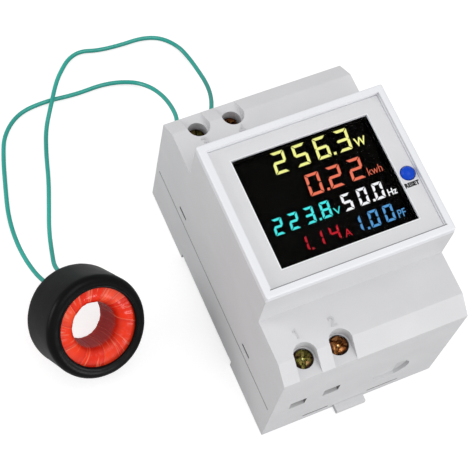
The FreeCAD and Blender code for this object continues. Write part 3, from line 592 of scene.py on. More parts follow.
class Finishes(dict[str, Material]):
    """Every finish of the meter, built once by name."""

    def __init__(self) -> None:
        """Build all materials."""
        case, strong_painted_shade, inside = srgb(221, 221, 223), 0.75, 0.85
        # Painted shade: boxes darkened inside the side seam, the snap windows, the end-face slits, the wire
        # entries (their far part and right walls) and the right side of the blank recess.
        openings = (
            PaintedShade((26.2, -1.0, 18.52), (27.1, 38.3, 19.02), 0.8, True),
            PaintedShade((24.0, 19.6, 22.7), (26.93, 24.2, 24.1), inside, True),
            PaintedShade((-14.8, -40.3, 3.45), (-6.8, -39.6, 4.15), strong_painted_shade),
            PaintedShade((5.6, -40.3, 3.45), (15.5, -39.6, 4.15), strong_painted_shade),
            PaintedShade((-22.0, -36.7, 18.5), (-6.4, -34.0, 23.6), inside),
            PaintedShade((-17.1, -40.2, 18.7), (-16.5, -34.0, 23.6), strong_painted_shade),
            PaintedShade((-6.9, -40.2, 18.7), (-6.3, -34.0, 23.6), strong_painted_shade),
            PaintedShade((12.5, -40.2, 11.0), (16.2, -39.0, 23.0), 0.16),
        )
        # Painted shadow lines on the frame along the label's lower and right edges.
        rim = (PaintedShade((-25.2, -20.66, 63.9), (25.2, -20.38, 64.6), strong_painted_shade),
               PaintedShade((24.85, -20.4, 63.9), (25.1, 20.4, 64.6), 0.35))
        kinds = (
            Plastic("case_grey", case, roughness=0.44, drift=0.035, painted_shades=openings),
            Plastic("figure_grey", srgb(206, 206, 209), roughness=0.44, drift=0.035),
            Plastic("frame_white", srgb(241, 242, 246), roughness=0.34, grain_depth=0.003 * MM, drift=0.02,
                    painted_shades=rim),
            Plastic("label_grey", srgb(226, 226, 228), roughness=0.5, grain_size=0.07 * MM, drift=0.02),
            Plastic("window_rim", srgb(246, 247, 249), roughness=0.4, drift=0.01),
            Plastic("print_black", srgb(16, 16, 18), roughness=0.55, grain_size=0.05 * MM, drift=0.2,
                    specular=0.3),
            Plastic("panel_black", srgb(7, 6, 5), roughness=0.6, grain_size=0.3 * MM, grain_depth=0.001 * MM,
                    drift=0.3, specular=0.02),
            Plastic("moulded_black", srgb(30, 30, 32), roughness=0.5, drift=0.2),
            Plastic("button_blue", srgb(2, 72, 206), roughness=0.30, grain_depth=0.001 * MM, drift=0.15,
                    specular=0.22),
            Plastic("potting_yellow", srgb(214, 178, 58), roughness=0.35, drift=0.1, coat=0.3),
            Plastic("disc_blue", srgb(30, 84, 160), roughness=0.3, drift=0.15, coat=0.4),
            Plastic("can_sleeve", srgb(36, 40, 66), roughness=0.35, drift=0.15, coat=0.2),
            Plastic("light_guide", srgb(226, 230, 236), roughness=0.55, drift=0.05),
            Plastic("sleeve_black", srgb(13, 13, 14), roughness=0.31, grain_size=0.5 * MM,
                    grain_depth=0.02 * MM, drift=0.35, specular=0.12),
            # Screw faces carry passivation tints; the rim colours are a painted dark reflection, the recess
            # colours painted shade in the slots with painted glints, and the glint colours painted highlights
            # in the middle.
            Metal("screw_olive", srgb(100, 92, 46), (srgb(72, 54, 34), srgb(116, 124, 54), srgb(128, 84, 66),
                                                     srgb(84, 90, 38)), 0.2, 2.4 * MM),
            Metal("screw_copper", srgb(134, 80, 42), (srgb(84, 46, 26), srgb(182, 132, 82), srgb(112, 66, 38),
                                                      srgb(146, 84, 44)), 0.2, 2.4 * MM),
            Metal("rim_olive", srgb(66, 46, 30), (srgb(34, 24, 16), srgb(104, 60, 50), srgb(54, 52, 26)),
                  0.2, 2.2 * MM),
            Metal("rim_copper", srgb(70, 38, 22), (srgb(34, 18, 12), srgb(110, 64, 36), srgb(54, 30, 18)),
                  0.2, 2.2 * MM),
            Metal("recess_olive", srgb(60, 50, 24), (srgb(26, 22, 12), srgb(140, 130, 70), srgb(48, 54, 22)),
                  0.24),
            Metal("recess_copper", srgb(76, 44, 24), (srgb(30, 18, 12), srgb(170, 112, 60), srgb(58, 32, 18)),
                  0.24),
            Metal("glint_olive", srgb(214, 210, 136), (srgb(140, 140, 66), srgb(246, 242, 204)),
                  0.16, 0.9 * MM),
            Metal("glint_copper", srgb(240, 206, 150), (srgb(170, 116, 64), srgb(252, 238, 206)),
                  0.16, 0.9 * MM),
            Metal("plated_steel", srgb(186, 188, 192), roughness=0.32),
            Metal("bare_copper", srgb(206, 128, 84), roughness=0.3),
            Metal("wound_copper", srgb(158, 76, 36), roughness=0.35),
            Laminate("board_green"),
            Jacket("wire_green", srgb(28, 178, 162), srgb(16, 146, 134)),
            Jacket("ribbon_grey", srgb(176, 178, 184), srgb(140, 142, 150), pitch=1.27 * MM),
            Film("tape_red"),
            Lens("lens_clear"),
            Glow("lit_yellow", srgb(255, 255, 150)),
            Glow("lit_orange", srgb(244, 122, 92)),
            Glow("lit_cyan", srgb(76, 236, 232)),
            Glow("lit_white", srgb(255, 255, 255)),
            Glow("lit_red", srgb(200, 28, 44)),
            Glow("lit_blue", srgb(88, 158, 216)),
        )
        super().__init__((kind.name, kind.build()) for kind in kinds)


def to_object(bm: BMesh, name: str, *finishes: Material, sharp: float = 38.0, flat: bool = False) -> Object:
    """Turn a mesh under construction into an object at the origin.

    Args:
        bm: The mesh, which is freed.
        name: The object's name.
        *finishes: Its materials, in the order of the faces' numbers.
        sharp: Edges that turn by more than this many degrees stay sharp.
        flat: Whether large flat faces keep even shading beside rounded edges.

    Returns:
        The object, linked to the scene.
    """
    bm.normal_update()
    for face in bm.faces:
        face.smooth = True
    for edge in bm.edges:
        if len(edge.link_faces) == 2:
            edge.smooth = edge.calc_face_angle(0.0) < math.radians(sharp)
    mesh = bpy.data.meshes.new(name)
    bm.to_mesh(mesh)
    bm.free()
    for finish in finishes:
        mesh.materials.append(finish)
    piece = link_new(name, mesh)
    if flat:
        weighted = piece.modifiers.new("even_shading", "WEIGHTED_NORMAL")
        weighted.keep_sharp = True
        weighted.weight = 80
    return piece


def final_mesh(holder: Object) -> BMesh:
    """Take an object's shape as its modifiers or its text leave it, and remove the object.

    Args:
        holder: The object.

    Returns:
        The mesh.
    """
    bpy.context.view_layer.update()
    mesh = bpy.data.meshes.new_from_object(holder.evaluated_get(bpy.context.evaluated_depsgraph_get()))
    bm = bmesh.new()
    bm.from_mesh(mesh)
    bpy.data.meshes.remove(mesh)
    bpy.data.objects.remove(holder)
    return bm


def settle(piece: Object, body: str, slot: str, *stands_for: str) -> None:
    """Put a finished piece on its body.

    Args:
        piece: The piece.
        body: The body it moves with.
        slot: The record's material slot; not used.
        *stands_for: The nodes that it takes the place of.
    """
    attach(piece, body)
    if stands_for:
        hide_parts(*stands_for)
    count = len(piece.data.polygons) if piece.type == "MESH" else len(piece.data.splines)
    LOG.info("%s on %s, %d faces or splines", piece.name, body, count)


@dataclass(frozen=True)
class Rounding:
    """Rounds the sharp edges that can be seen from outside and that a test picks."""

    width: float
    picks: Callable[[Vector], bool] = lambda middle: True
    steps: int = 3
    shortest: float = 0.9 * MM
    least_turn: float = math.radians(33)
    lift: float = 0.05
    room: float = 0.2

    def apply(self, bm: BMesh) -> None:
        """Round the edges of a mesh.

        Args:
            bm: The mesh.
        """
        bm.normal_update()
        tree = BVHTree.FromBMesh(bm)
        chosen = []
        for edge in bm.edges:
            if len(edge.link_faces) != 2 or edge.calc_face_angle(0.0) < self.least_turn:
                continue
            middle = (edge.verts[0].co + edge.verts[1].co) / 2
            if edge.calc_length() < self.shortest or not self.picks(middle):
                continue
            out = (edge.link_faces[0].normal + edge.link_faces[1].normal).normalized()
            if tree.ray_cast(middle + out * self.lift * MM, out, self.room)[0] is None:
                chosen.append(edge)
        bmesh.ops.bevel(bm, geom=chosen, offset=self.width, offset_type="OFFSET", segments=self.steps,
                        profile=0.5, affect="EDGES", clamp_overlap=True)


@dataclass
class Maker:
    """Makes some of the scene's pieces."""

    finishes: Finishes

    def piece(self, bm: BMesh, name: str, finish: str, body: str, slot: str, *stands_for: str,
              sharp: float = 38.0) -> Object:
        """Turn a mesh into a piece on its body.

        Args:
            bm: The mesh.
            name: The piece's name.
            finish: Its finish.
            body: The body it moves with.
            slot: The record's material slot.
            *stands_for: The nodes that it takes the place of.
            sharp: Edges that turn by more than this many degrees stay sharp.

        Returns:
            The piece.
        """
        made = to_object(bm, name, self.finishes[finish], sharp=sharp)
        settle(made, body, slot, *stands_for)
        return made

    def soften(self, node: str, name: str, finish: str, slot: str, *roundings: Rounding,
               body: str = "case") -> None:
        """Put a copy of a CAD node in its place, with a moulding's small radii on its visible edges.

        Args:
            node: The CAD node.
            name: The copy's name.
            finish: Its finish.
            slot: The record's material slot.
            *roundings: What gets rounded, in order.
            body: The body it moves with.
        """
        bm = bmesh.new()
        bm.from_mesh(frame["nodes"][node].data)
        bmesh.ops.remove_doubles(bm, verts=bm.verts, dist=COARSE_WELD)
        bmesh.ops.dissolve_limit(bm, angle_limit=FLAT_TURN, verts=bm.verts[:], edges=bm.edges[:])
        for rounding in roundings:
            rounding.apply(bm)
        settle(to_object(bm, name, self.finishes[finish], flat=True), body, slot, node)


def quarter(centre: Pair, radius: float, start: float, stop: float, steps: int = 8) -> Outline:
    """Points of an arc in a turned outline, by angles in degrees: 0 is away from the axis, 90 upwards."""
    angles = (math.radians(start + (stop - start) * step / steps) for step in range(steps + 1))
    return [(centre[0] + radius * math.cos(angle), centre[1] + radius * math.sin(angle)) for angle in angles]


def below(outline: Sequence[Pair]) -> Outline:
    """The outline's mirror image under the axis's middle, run backwards."""
    return [(radius, -height) for radius, height in reversed(outline)]


def turned(outline: Outline, steps: int, place: Matrix, closed: bool = False,
           lift: Callable[[float, int, float, float], float] | None = None) -> BMesh:
    """Turn an outline about an axis into a closed mesh.

    Args:
        outline: Points as radius and height in millimetres, anticlockwise.
        steps: How many spans round the axis.
        place: Where the axis stands, with the outline's height along its Z.
        closed: Whether the outline closes on itself, or else starts and ends on the axis.
        lift: How far a point moves outwards, from its angle, number in the outline, radius and height.

    Returns:
        The mesh, with a UV map of the share round and the share along.
    """
    bm = bmesh.new()
    layer = bm.loops.layers.uv.new("wrap")
    count = len(outline)
    spans = count if closed else count - 1
    rings = []
    for step in range(steps):
        angle = 2 * math.pi * step / steps
        ring = []
        for number, (radius, height) in enumerate(outline):
            if lift:
                before, after = outline[number - 1], outline[(number + 1) % count]
                along = Vector((after[0] - before[0], after[1] - before[1]))
                along = along.normalized() if along.length else Vector((0, 1))
                move = lift(angle, number, radius, height)
                radius, height = radius + along.y * move, height - along.x * move
            point = Vector((radius * math.cos(angle), radius * math.sin(angle), height)) * MM
            ring.append(bm.verts.new(place @ point))
        rings.append(ring)
    for step in range(steps):
        here, there = rings[step], rings[(step + 1) % steps]
        for number in range(spans):
            after = (number + 1) % count
            face = bm.faces.new((here[number], there[number], there[after], here[after]))
            shares = ((step, number), (step + 1, number), (step + 1, number + 1), (step, number + 1))
            for loop, (around, along) in zip(face.loops, shares):
                loop[layer].uv = (around / steps, along / spans)
    bmesh.ops.remove_doubles(bm, verts=bm.verts, dist=WELD)
    bmesh.ops.dissolve_degenerate(bm, edges=bm.edges[:], dist=0.4 * WELD)
    bmesh.ops.recalc_face_normals(bm, faces=bm.faces[:])
    return bm


def rectangle(wide: float, tall: float) -> Outline:
    """The corners of a rectangle about the origin, from its half width and half length."""
    return [(-wide, -tall), (wide, -tall), (wide, tall), (-wide, tall)]


def join_up(bm: BMesh) -> None:
    """Weld the points of a mesh that coincide and turn its faces outwards."""
    bmesh.ops.remove_doubles(bm, verts=bm.verts, dist=WELD)
    bmesh.ops.recalc_face_normals(bm, faces=bm.faces[:])


def level(bm: BMesh, outline: Sequence[Pair], height: float) -> list[BMVert]:
    """Add the points of an outline at a height to a mesh. Sizes are in millimetres."""
    return [bm.verts.new((x * MM, y * MM, height * MM)) for x, y in outline]


def wall(bm: BMesh, first: list[BMVert], second: list[BMVert]) -> None:
    """Join two closed rows of a mesh's points with faces.

    Args:
        bm: The mesh.
        first: The row that the faces start on, anticlockwise as seen from the second row's side.
        second: The other row.
    """
    for number, corner in enumerate(first):
        after = (number + 1) % len(first)
        bm.faces.new((corner, first[after], second[after], second[number]))


def slab(bm: BMesh, outline: Sequence[Pair], low: float, high: float) -> None:
    """Add a closed flat prism to a mesh.

    Args:
        bm: The mesh.
        outline: Points in X and Y, in millimetres, anticlockwise.
        low: The height of its underside in millimetres.
        high: The height of its top.
    """
    bottom, top = level(bm, outline, low), level(bm, outline, high)
    bm.faces.new(bottom[::-1])
    bm.faces.new(top)
    wall(bm, bottom, top)


def plate_with_window(bm: BMesh, outer: Pair, inner: Pair, low: float, high: float) -> None:
    """Add a flat rectangular frame to a mesh, centred on the meter. Sizes are in millimetres.

    Args:
        bm: The mesh.
        outer: Its outer half width and half length.
        inner: The window's half width and half length.
        low: The height of its underside.
        high: The height of its top.
    """
    low_out, low_in, top_out, top_in = (level(bm, rectangle(*half), z) for z in (low, high)
                                        for half in (outer, inner))
    for first, second in ((top_out, top_in), (low_in, low_out), (low_out, top_out), (top_in, low_in)):
        wall(bm, first, second)


def add_words(bm: BMesh, words: str, corner: Pair, size: Pair, low: float, thickness: float,
              lean: float = 0.0, weight: float = 0.0) -> None:
    """Add generic figures or letters to a mesh as closed raised shapes. Sizes are in millimetres.

    Args:
        bm: The mesh.
        words: The figures or letters.
        corner: X of their left edge and Y of their lower edge.
        size: Their whole width and height.
        low: The height that they stand on.
        thickness: How far they rise.
        lean: Their slant, as a shift in X for each unit of Y.
        weight: How much bolder their strokes are, as a share of their size.
    """
    curve = bpy.data.curves.new("words", "FONT")
    curve.body, curve.extrude, curve.offset, curve.resolution_u = words, 0.5, weight, 4
    part = final_mesh(link_new("words", curve))
    bpy.data.curves.remove(curve)
    xs, ys = [vertex.co.x for vertex in part.verts], [vertex.co.y for vertex in part.verts]
    left, base = min(xs), min(ys)
    wide, tall = max(xs) - left, max(ys) - base
    for vertex in part.verts:
        x, y, z = vertex.co
        across, up = (x - left) / wide * size[0], (y - base) / tall * size[1]
        vertex.co = Vector((corner[0] + across + up * lean, corner[1] + up, low + (z + 0.5) * thickness)) * MM
    join_up(part)
    mesh = bpy.data.meshes.new("words")
    part.to_mesh(mesh)
    part.free()
    bm.from_mesh(mesh)
    bpy.data.meshes.remove(mesh)


@dataclass
class CoilRule:
    """A geometry rule for round wire that runs in even turns, such as a spring or a screw's thread."""

    tree: NodeTree | None = None
    ids: list[str] = field(default_factory=list)

    def build(self) -> None:
        """Build the node tree with an input for each size."""
        self.tree = bpy.data.node_groups.new("even_coil", "GeometryNodeTree")
        interface = self.tree.interface
        interface.new_socket(name="Geometry", in_out="OUTPUT", socket_type="NodeSocketGeometry")
        for name in ("Turns", "Radius", "Rise", "Wire"):
            socket = interface.new_socket(name=name, in_out="INPUT", socket_type="NodeSocketFloat")
            self.ids.append(socket.identifier)
        graph = Graph(self.tree)
        turns, radius, rise, wire = list(graph.add("NodeGroupInput").outputs)[:4]
        spiral = graph.add("GeometryNodeCurveSpiral", {"Resolution": 20, "Rotations": turns, "Height": rise,
                                                       "Start Radius": radius, "End Radius": radius})
        section = graph.add("GeometryNodeCurvePrimitiveCircle", {"Resolution": 6, "Radius": wire})
        tube = graph.add("GeometryNodeCurveToMesh", {"Curve": spiral.outputs[0], "Fill Caps": True,
                                                     "Profile Curve": section.outputs[0]})
        real = graph.add("GeometryNodeRealizeInstances", {0: tube.outputs[0]})
        graph.add("NodeGroupOutput", {0: real.outputs[0]})

    def make(self, turns: float, radius: float, rise: float, wire: float, place: Matrix) -> BMesh:
        """Run the rule and return a plain mesh.

        Args:
            turns: How many turns.
            radius: The radius of the wire's middle, in metres.
            rise: How far the turns rise in all.
            wire: The wire's radius.
            place: Where the coil's axis starts.

        Returns:
            The mesh.
        """
        if self.tree is None:
            self.build()
        holder = link_new("coil", bpy.data.meshes.new("coil"))
        modifier = holder.modifiers.new("rule", "NODES")
        modifier.node_group = self.tree
        for key, value in zip(self.ids, (turns, radius, rise, wire)):
            modifier[key] = value
        bm = final_mesh(holder)
        bm.transform(place)
        join_up(bm)
        return bm


@dataclass
class Studio:
    """Camera, floor, lamps and surroundings."""

    eye: Point = (-0.127327, -0.127300, 0.419166)
    right: Point = (0.909, -0.400, 0.117)
    look: Point = (0.25706, 0.31796, -0.91259)
    lens: float = 118.30
    sky: float = 0.62
    gloss: float = 0.45
    floor_tone: float = 0.50
    floor_lift: float = 0.67
    floor_reach: float = 6.0
    aim: Point = (-0.02, 0.01, 0.02)
    lamps: tuple[tuple[str, Point, float, float], ...] = (
        ("key_lamp", (0.10, -0.16, 0.95), 2.3, 0.6),
        ("end_lamp", (0.20, -0.95, 0.17), 2.65, 0.3),
        ("side_lamp", (-0.62, 0.30, 0.28), 1.3, 0.3),
    )

    def camera(self) -> None:
        """Set the camera at the photograph's place and angle."""
        look, right = Vector(self.look).normalized(), Vector(self.right)
        right = (right - look * right.dot(look)).normalized()
        up = right.cross(look)
        data = bpy.data.cameras.new("camera")
        data.lens, data.sensor_width, data.clip_start, data.clip_end = self.lens, 36.0, 0.01, 50.0
        camera = link_new("camera", data)
        camera.matrix_world = Matrix.Translation(self.eye) @ Matrix((right, up, -look)).transposed().to_4x4()
        bpy.context.scene.camera = camera

    @staticmethod
    def seen_plainly(graph: Graph) -> NodeSocket:
        """How far a ray shows the surroundings as they are: to the camera or through glass."""
        path = graph.add("ShaderNodeLightPath")
        return graph.math("MAXIMUM", path.outputs["Is Camera Ray"], path.outputs["Is Transmission Ray"])

    def floor(self) -> None:
        """Lay the plain pale floor, which keeps the object's shadow."""
        tone = self.floor_tone
        graph = Surface("floor_white", Roughness=0.9, Specular_IOR_Level=0.1,
                        Base_Color=(tone, tone, tone, 1), Emission_Color=(1, 1, 1, 1))
        graph.dress(Emission_Strength=graph.times(self.seen_plainly(graph), self.floor_lift))
        mesh = bpy.data.meshes.new("floor")
        corners = [(x, y, 0) for x, y in rectangle(self.floor_reach, self.floor_reach)]
        mesh.from_pydata(corners, [], [(0, 1, 2, 3)])
        mesh.materials.append(graph.material)
        floor = link_new("floor", mesh)

    def hang_lamps(self) -> None:
        """Hang the soft square lamps, which face the object: name, place, watts and side of each."""
        for name, place, power, size in self.lamps:
            data = bpy.data.lights.new(name, "AREA")
            data.energy, data.size = power, size
            turn = (Vector(self.aim) - Vector(place)).to_track_quat("-Z", "Y").to_matrix().to_4x4()
            link_new(name, data).matrix_world = Matrix.Translation(place) @ turn

    def surroundings(self) -> None:
        """Set the white surroundings and how colours are shown."""
        world = bpy.data.worlds.new("surroundings")
        world.use_nodes = True
        graph = Graph(world.node_tree)
        gloss = graph.add("ShaderNodeLightPath").outputs["Is Glossy Ray"]
        strength = graph.spread(self.seen_plainly(graph), graph.spread(gloss, self.sky, self.gloss), 1.0)
        background = world.node_tree.nodes["Background"].inputs
        graph.feed(strength, background["Strength"])
        graph.feed((1, 1, 1, 1), background["Color"])
        bpy.context.scene.world = world
        bpy.context.scene.view_settings.view_transform = "Standard"

    def build(self) -> None:
        """Set up everything but the camera."""
        self.floor()
        self.hang_lamps()
        self.surroundings()
        LOG.info("studio ready")


@dataclass
class TransformerWires(Maker):
    """The two green wires from terminals 3 and 4 to the ring."""

    diameter: float = 0.0013
    lengths: dict[int, float] = field(default_factory=lambda: {3: 0.1509, 4: 0.1721})
    routes: dict[int, list[Point]] = field(default_factory=lambda: {
        3: [
            (-0.0192, 0.0383, 0.0194), (-0.0192, 0.0445, 0.0194), (-0.0152, 0.0522, 0.0173),
            (-0.0139, 0.0584, 0.0132), (-0.0136, 0.0653, 0.0084), (-0.0150, 0.0717, 0.0042),
            (-0.0188, 0.0765, 0.0015), (-0.0267, 0.0791, 0.0007), (-0.0366, 0.0786, 0.0007),
            (-0.0460, 0.0796, 0.0007), (-0.0550, 0.0786, 0.0007), (-0.0615, 0.0732, 0.0007),
            (-0.0644, 0.0660, 0.0007), (-0.0670, 0.0573, 0.0007), (-0.0696, 0.0480, 0.0011),
            (-0.0707, 0.0388, 0.0036), (-0.0709, 0.0297, 0.0088), (-0.0696736, 0.0215955, 0.0125048),
            (-0.0687019, 0.0178381, 0.0168151),
        ],
        4: [
            (-0.0090, 0.0383, 0.0194), (-0.0090, 0.0445, 0.0194), (-0.0042, 0.0524, 0.0173),
            (-0.0015, 0.0582, 0.0133), (0.0002, 0.0644, 0.0090), (0.0008, 0.0714, 0.0050),
            (0.0008, 0.0780, 0.0020), (-0.0004, 0.0836, 0.0008), (-0.0044, 0.0882, 0.0007),
            (-0.0100, 0.0901, 0.0007), (-0.0174, 0.0900, 0.0007), (-0.0246, 0.0906, 0.0007),
            (-0.0296, 0.0922, 0.0007), (-0.0340, 0.0910, 0.0007), (-0.0380, 0.0873, 0.0010),
            (-0.0412, 0.0832, 0.0023), (-0.0453, 0.0766, 0.0023), (-0.0492, 0.0706, 0.0008),
            (-0.0521, 0.0626, 0.0007), (-0.0544, 0.0546, 0.0007), (-0.0574, 0.0466, 0.0012),
            (-0.0607, 0.0380, 0.0036), (-0.0631, 0.0297, 0.0086), (-0.0648443, 0.0228837, 0.0125390),
            (-0.0638726, 0.0191263, 0.0168493),
        ],
    })

    def build(self) -> None:
        """Lay both wires as smooth splines."""
        for number, route in self.routes.items():
            curve = bpy.data.curves.new(f"transformer_wire_{number}", "CURVE")
            curve.dimensions = "3D"
            curve.bevel_depth = self.diameter / 2
            curve.bevel_resolution = 4
            curve.resolution_u = 8
            curve.use_fill_caps = True
            spline = curve.splines.new("NURBS")
            spline.points.add(len(route) - 1)
            for point, place in zip(spline.points, route):
                point.co = (*place, 1.0)
            spline.order_u = 3
            spline.use_endpoint_u = True
            curve.materials.append(self.finishes["wire_green"])
            wire = link_new(f"transformer_wire_{number}", curve)
            settle(wire, "case", "wire_green", f"ct_wire_{number}")


@dataclass
class Housing(Maker):
    """Back case, upper case, rail latch and the raised terminal figures.

    Sizes are in millimetres. Edges in a seam or an opening stay sharp. An opening is a box in X, the distance
    from the middle in Y, and Z: two screw pockets, two snap windows and the wire entries.
    """

    seams: Pair = (18.6, 62.1)
    seam_reach: float = 0.4
    openings: tuple[tuple[Point, Point], ...] = (
        ((-22.5, 31.6, 40.0), (-15.9, 50.0, 70.0)), ((-12.3, 31.6, 40.0), (-5.7, 50.0, 70.0)),
        ((-30.0, 19.3, 22.0), (-24.5, 24.5, 25.0)), ((24.5, 19.3, 22.0), (30.0, 24.5, 25.0)),
        ((-22.5, 37.0, 18.0), (-5.5, 50.0, 24.0)),
    )
    shoulder: float = 48.4
    figures: dict[str, Pair] = field(default_factory=lambda: {
        "1": (-19.4, -29.1), "2": (-9.0, -29.4), "3": (-19.4, 29.75), "4": (-8.6, 29.8),
    })
    figure_height: float = 2.9
    figure_width: float = 0.62 * 2.9
    figure_sink: float = 0.02
    figure_rise: float = 0.30
    one: tuple[Pair, ...] = (
        (0.05, -1.45), (0.45, -1.45), (0.45, 1.45), (0.12, 1.45), (-0.65, 0.85), (-0.65, 0.45), (0.05, 0.92),
    )

    def on_seam(self, middle: Vector) -> bool:
        """Whether an edge lies in a seam: between the case halves or under the front frame."""
        return any(abs(middle.z - seam * MM) < self.seam_reach * MM for seam in self.seams)

    def in_opening(self, middle: Vector) -> bool:
        """Whether an edge, by its middle, belongs to an opening."""
        spot = (middle.x / MM, abs(middle.y) / MM, middle.z / MM)
        return any(all(a < at < b for a, at, b in zip(low, spot, high)) for low, high in self.openings)

    def build(self) -> None:
        """Make the housing's pieces."""
        main = Rounding(0.45 * MM, lambda p: not (self.on_seam(p) or self.in_opening(p)), shortest=1.6 * MM)
        fine = Rounding(0.08 * MM, steps=2, shortest=0.3 * MM)
        self.soften("upper_case", "upper_housing", "case_grey", "case_plastic", main, fine)
        self.soften("rear_case", "rear_housing", "case_grey", "case_plastic", main, fine)
        self.soften("din_latch", "rail_latch", "case_grey", "case_plastic", Rounding(0.25 * MM), body="latch")
        bm = bmesh.new()
        low = self.shoulder - self.figure_sink
        wide, tall = self.figure_width, self.figure_height
        for figure, (x, y) in self.figures.items():
            if figure == "1":
                slab(bm, [(x + dx, y + dy) for dx, dy in self.one], low, low + self.figure_rise)
            else:
                add_words(bm, figure, (x - wide / 2, y - tall / 2), (wide, tall), low, self.figure_rise,
                          weight=0.02)
        self.piece(bm, "terminal_figures", "figure_grey", "case", "case_plastic")


SEGMENTS: dict[str, str] = {
    "0": "abcdef", "1": "bc", "2": "abged", "3": "abgcd",
    "4": "fgbc", "5": "afgcd", "6": "afgedc", "8": "abcdefg",
}


@dataclass(frozen=True)
class Readout:
    """One group of figures on the display, with its unit. Sizes are in millimetres."""

    name: str
    finish: str
    figures: tuple[tuple[str, float], ...]
    point: float
    base: float
    height: float
    width: float
    bar: float
    unit: str
    unit_left: float
    unit_size: Pair
    weight: float = 0.0
    lean: float = 0.11
    unit_lean: float = 0.1
    gap: float = 0.16
    thickness: float = 0.05

    def strokes(self, figure: str) -> list[Outline]:
        """The outlines of one figure's lit bars, upright and at the origin.

        Args:
            figure: The figure.

        Returns:
            One outline for each lit bar.
        """
        wide, tall, bar, gap = self.width, self.height, self.bar, self.gap
        half, mid = bar / 2, tall / 2
        shapes = {
            "a": [(gap, tall), (bar + gap, tall - bar), (wide - bar - gap, tall - bar), (wide - gap, tall)],
            "d": [(gap, 0), (wide - gap, 0), (wide - bar - gap, bar), (bar + gap, bar)],
            "g": [(gap * 1.5, mid), (half + gap, mid - half), (wide - half - gap, mid - half),
                  (wide - gap * 1.5, mid), (wide - half - gap, mid + half), (half + gap, mid + half)],
            "f": [(0, tall - gap), (0, mid + gap), (half, mid + gap), (bar, mid + half + gap),
                  (bar, tall - bar - gap)],
            "e": [(0, mid - gap), (0, gap), (bar, bar + gap), (bar, mid - half - gap), (half, mid - gap)],
        }
        for left, right in (("f", "b"), ("e", "c")):
            shapes[right] = [(wide - x, y) for x, y in reversed(shapes[left])]
        return [shapes[key] for key in SEGMENTS[figure]]

    def build(self, low: float) -> BMesh:
        """Make the group's lit bars, point and unit.

        Args:
            low: The height of the glass in millimetres.

        Returns:
            The mesh.
        """
        bm = bmesh.new()
        top = low + self.thickness
        for figure, left in self.figures:
            for outline in self.strokes(figure):
                slab(bm, [(left + x + y * self.lean, self.base + y) for x, y in outline], low, top)
        side, left, base = self.bar * 0.95, self.point, self.base
        shift = side * 0.12
        dot = [(left, base), (left + side, base), (left + side + shift, base + side),
               (left + shift, base + side)]
        slab(bm, dot, low, top)
        add_words(bm, self.unit, (self.unit_left, base), self.unit_size, low, self.thickness, self.unit_lean,
                  self.weight)
        bmesh.ops.recalc_face_normals(bm, faces=bm.faces[:])
        return bm


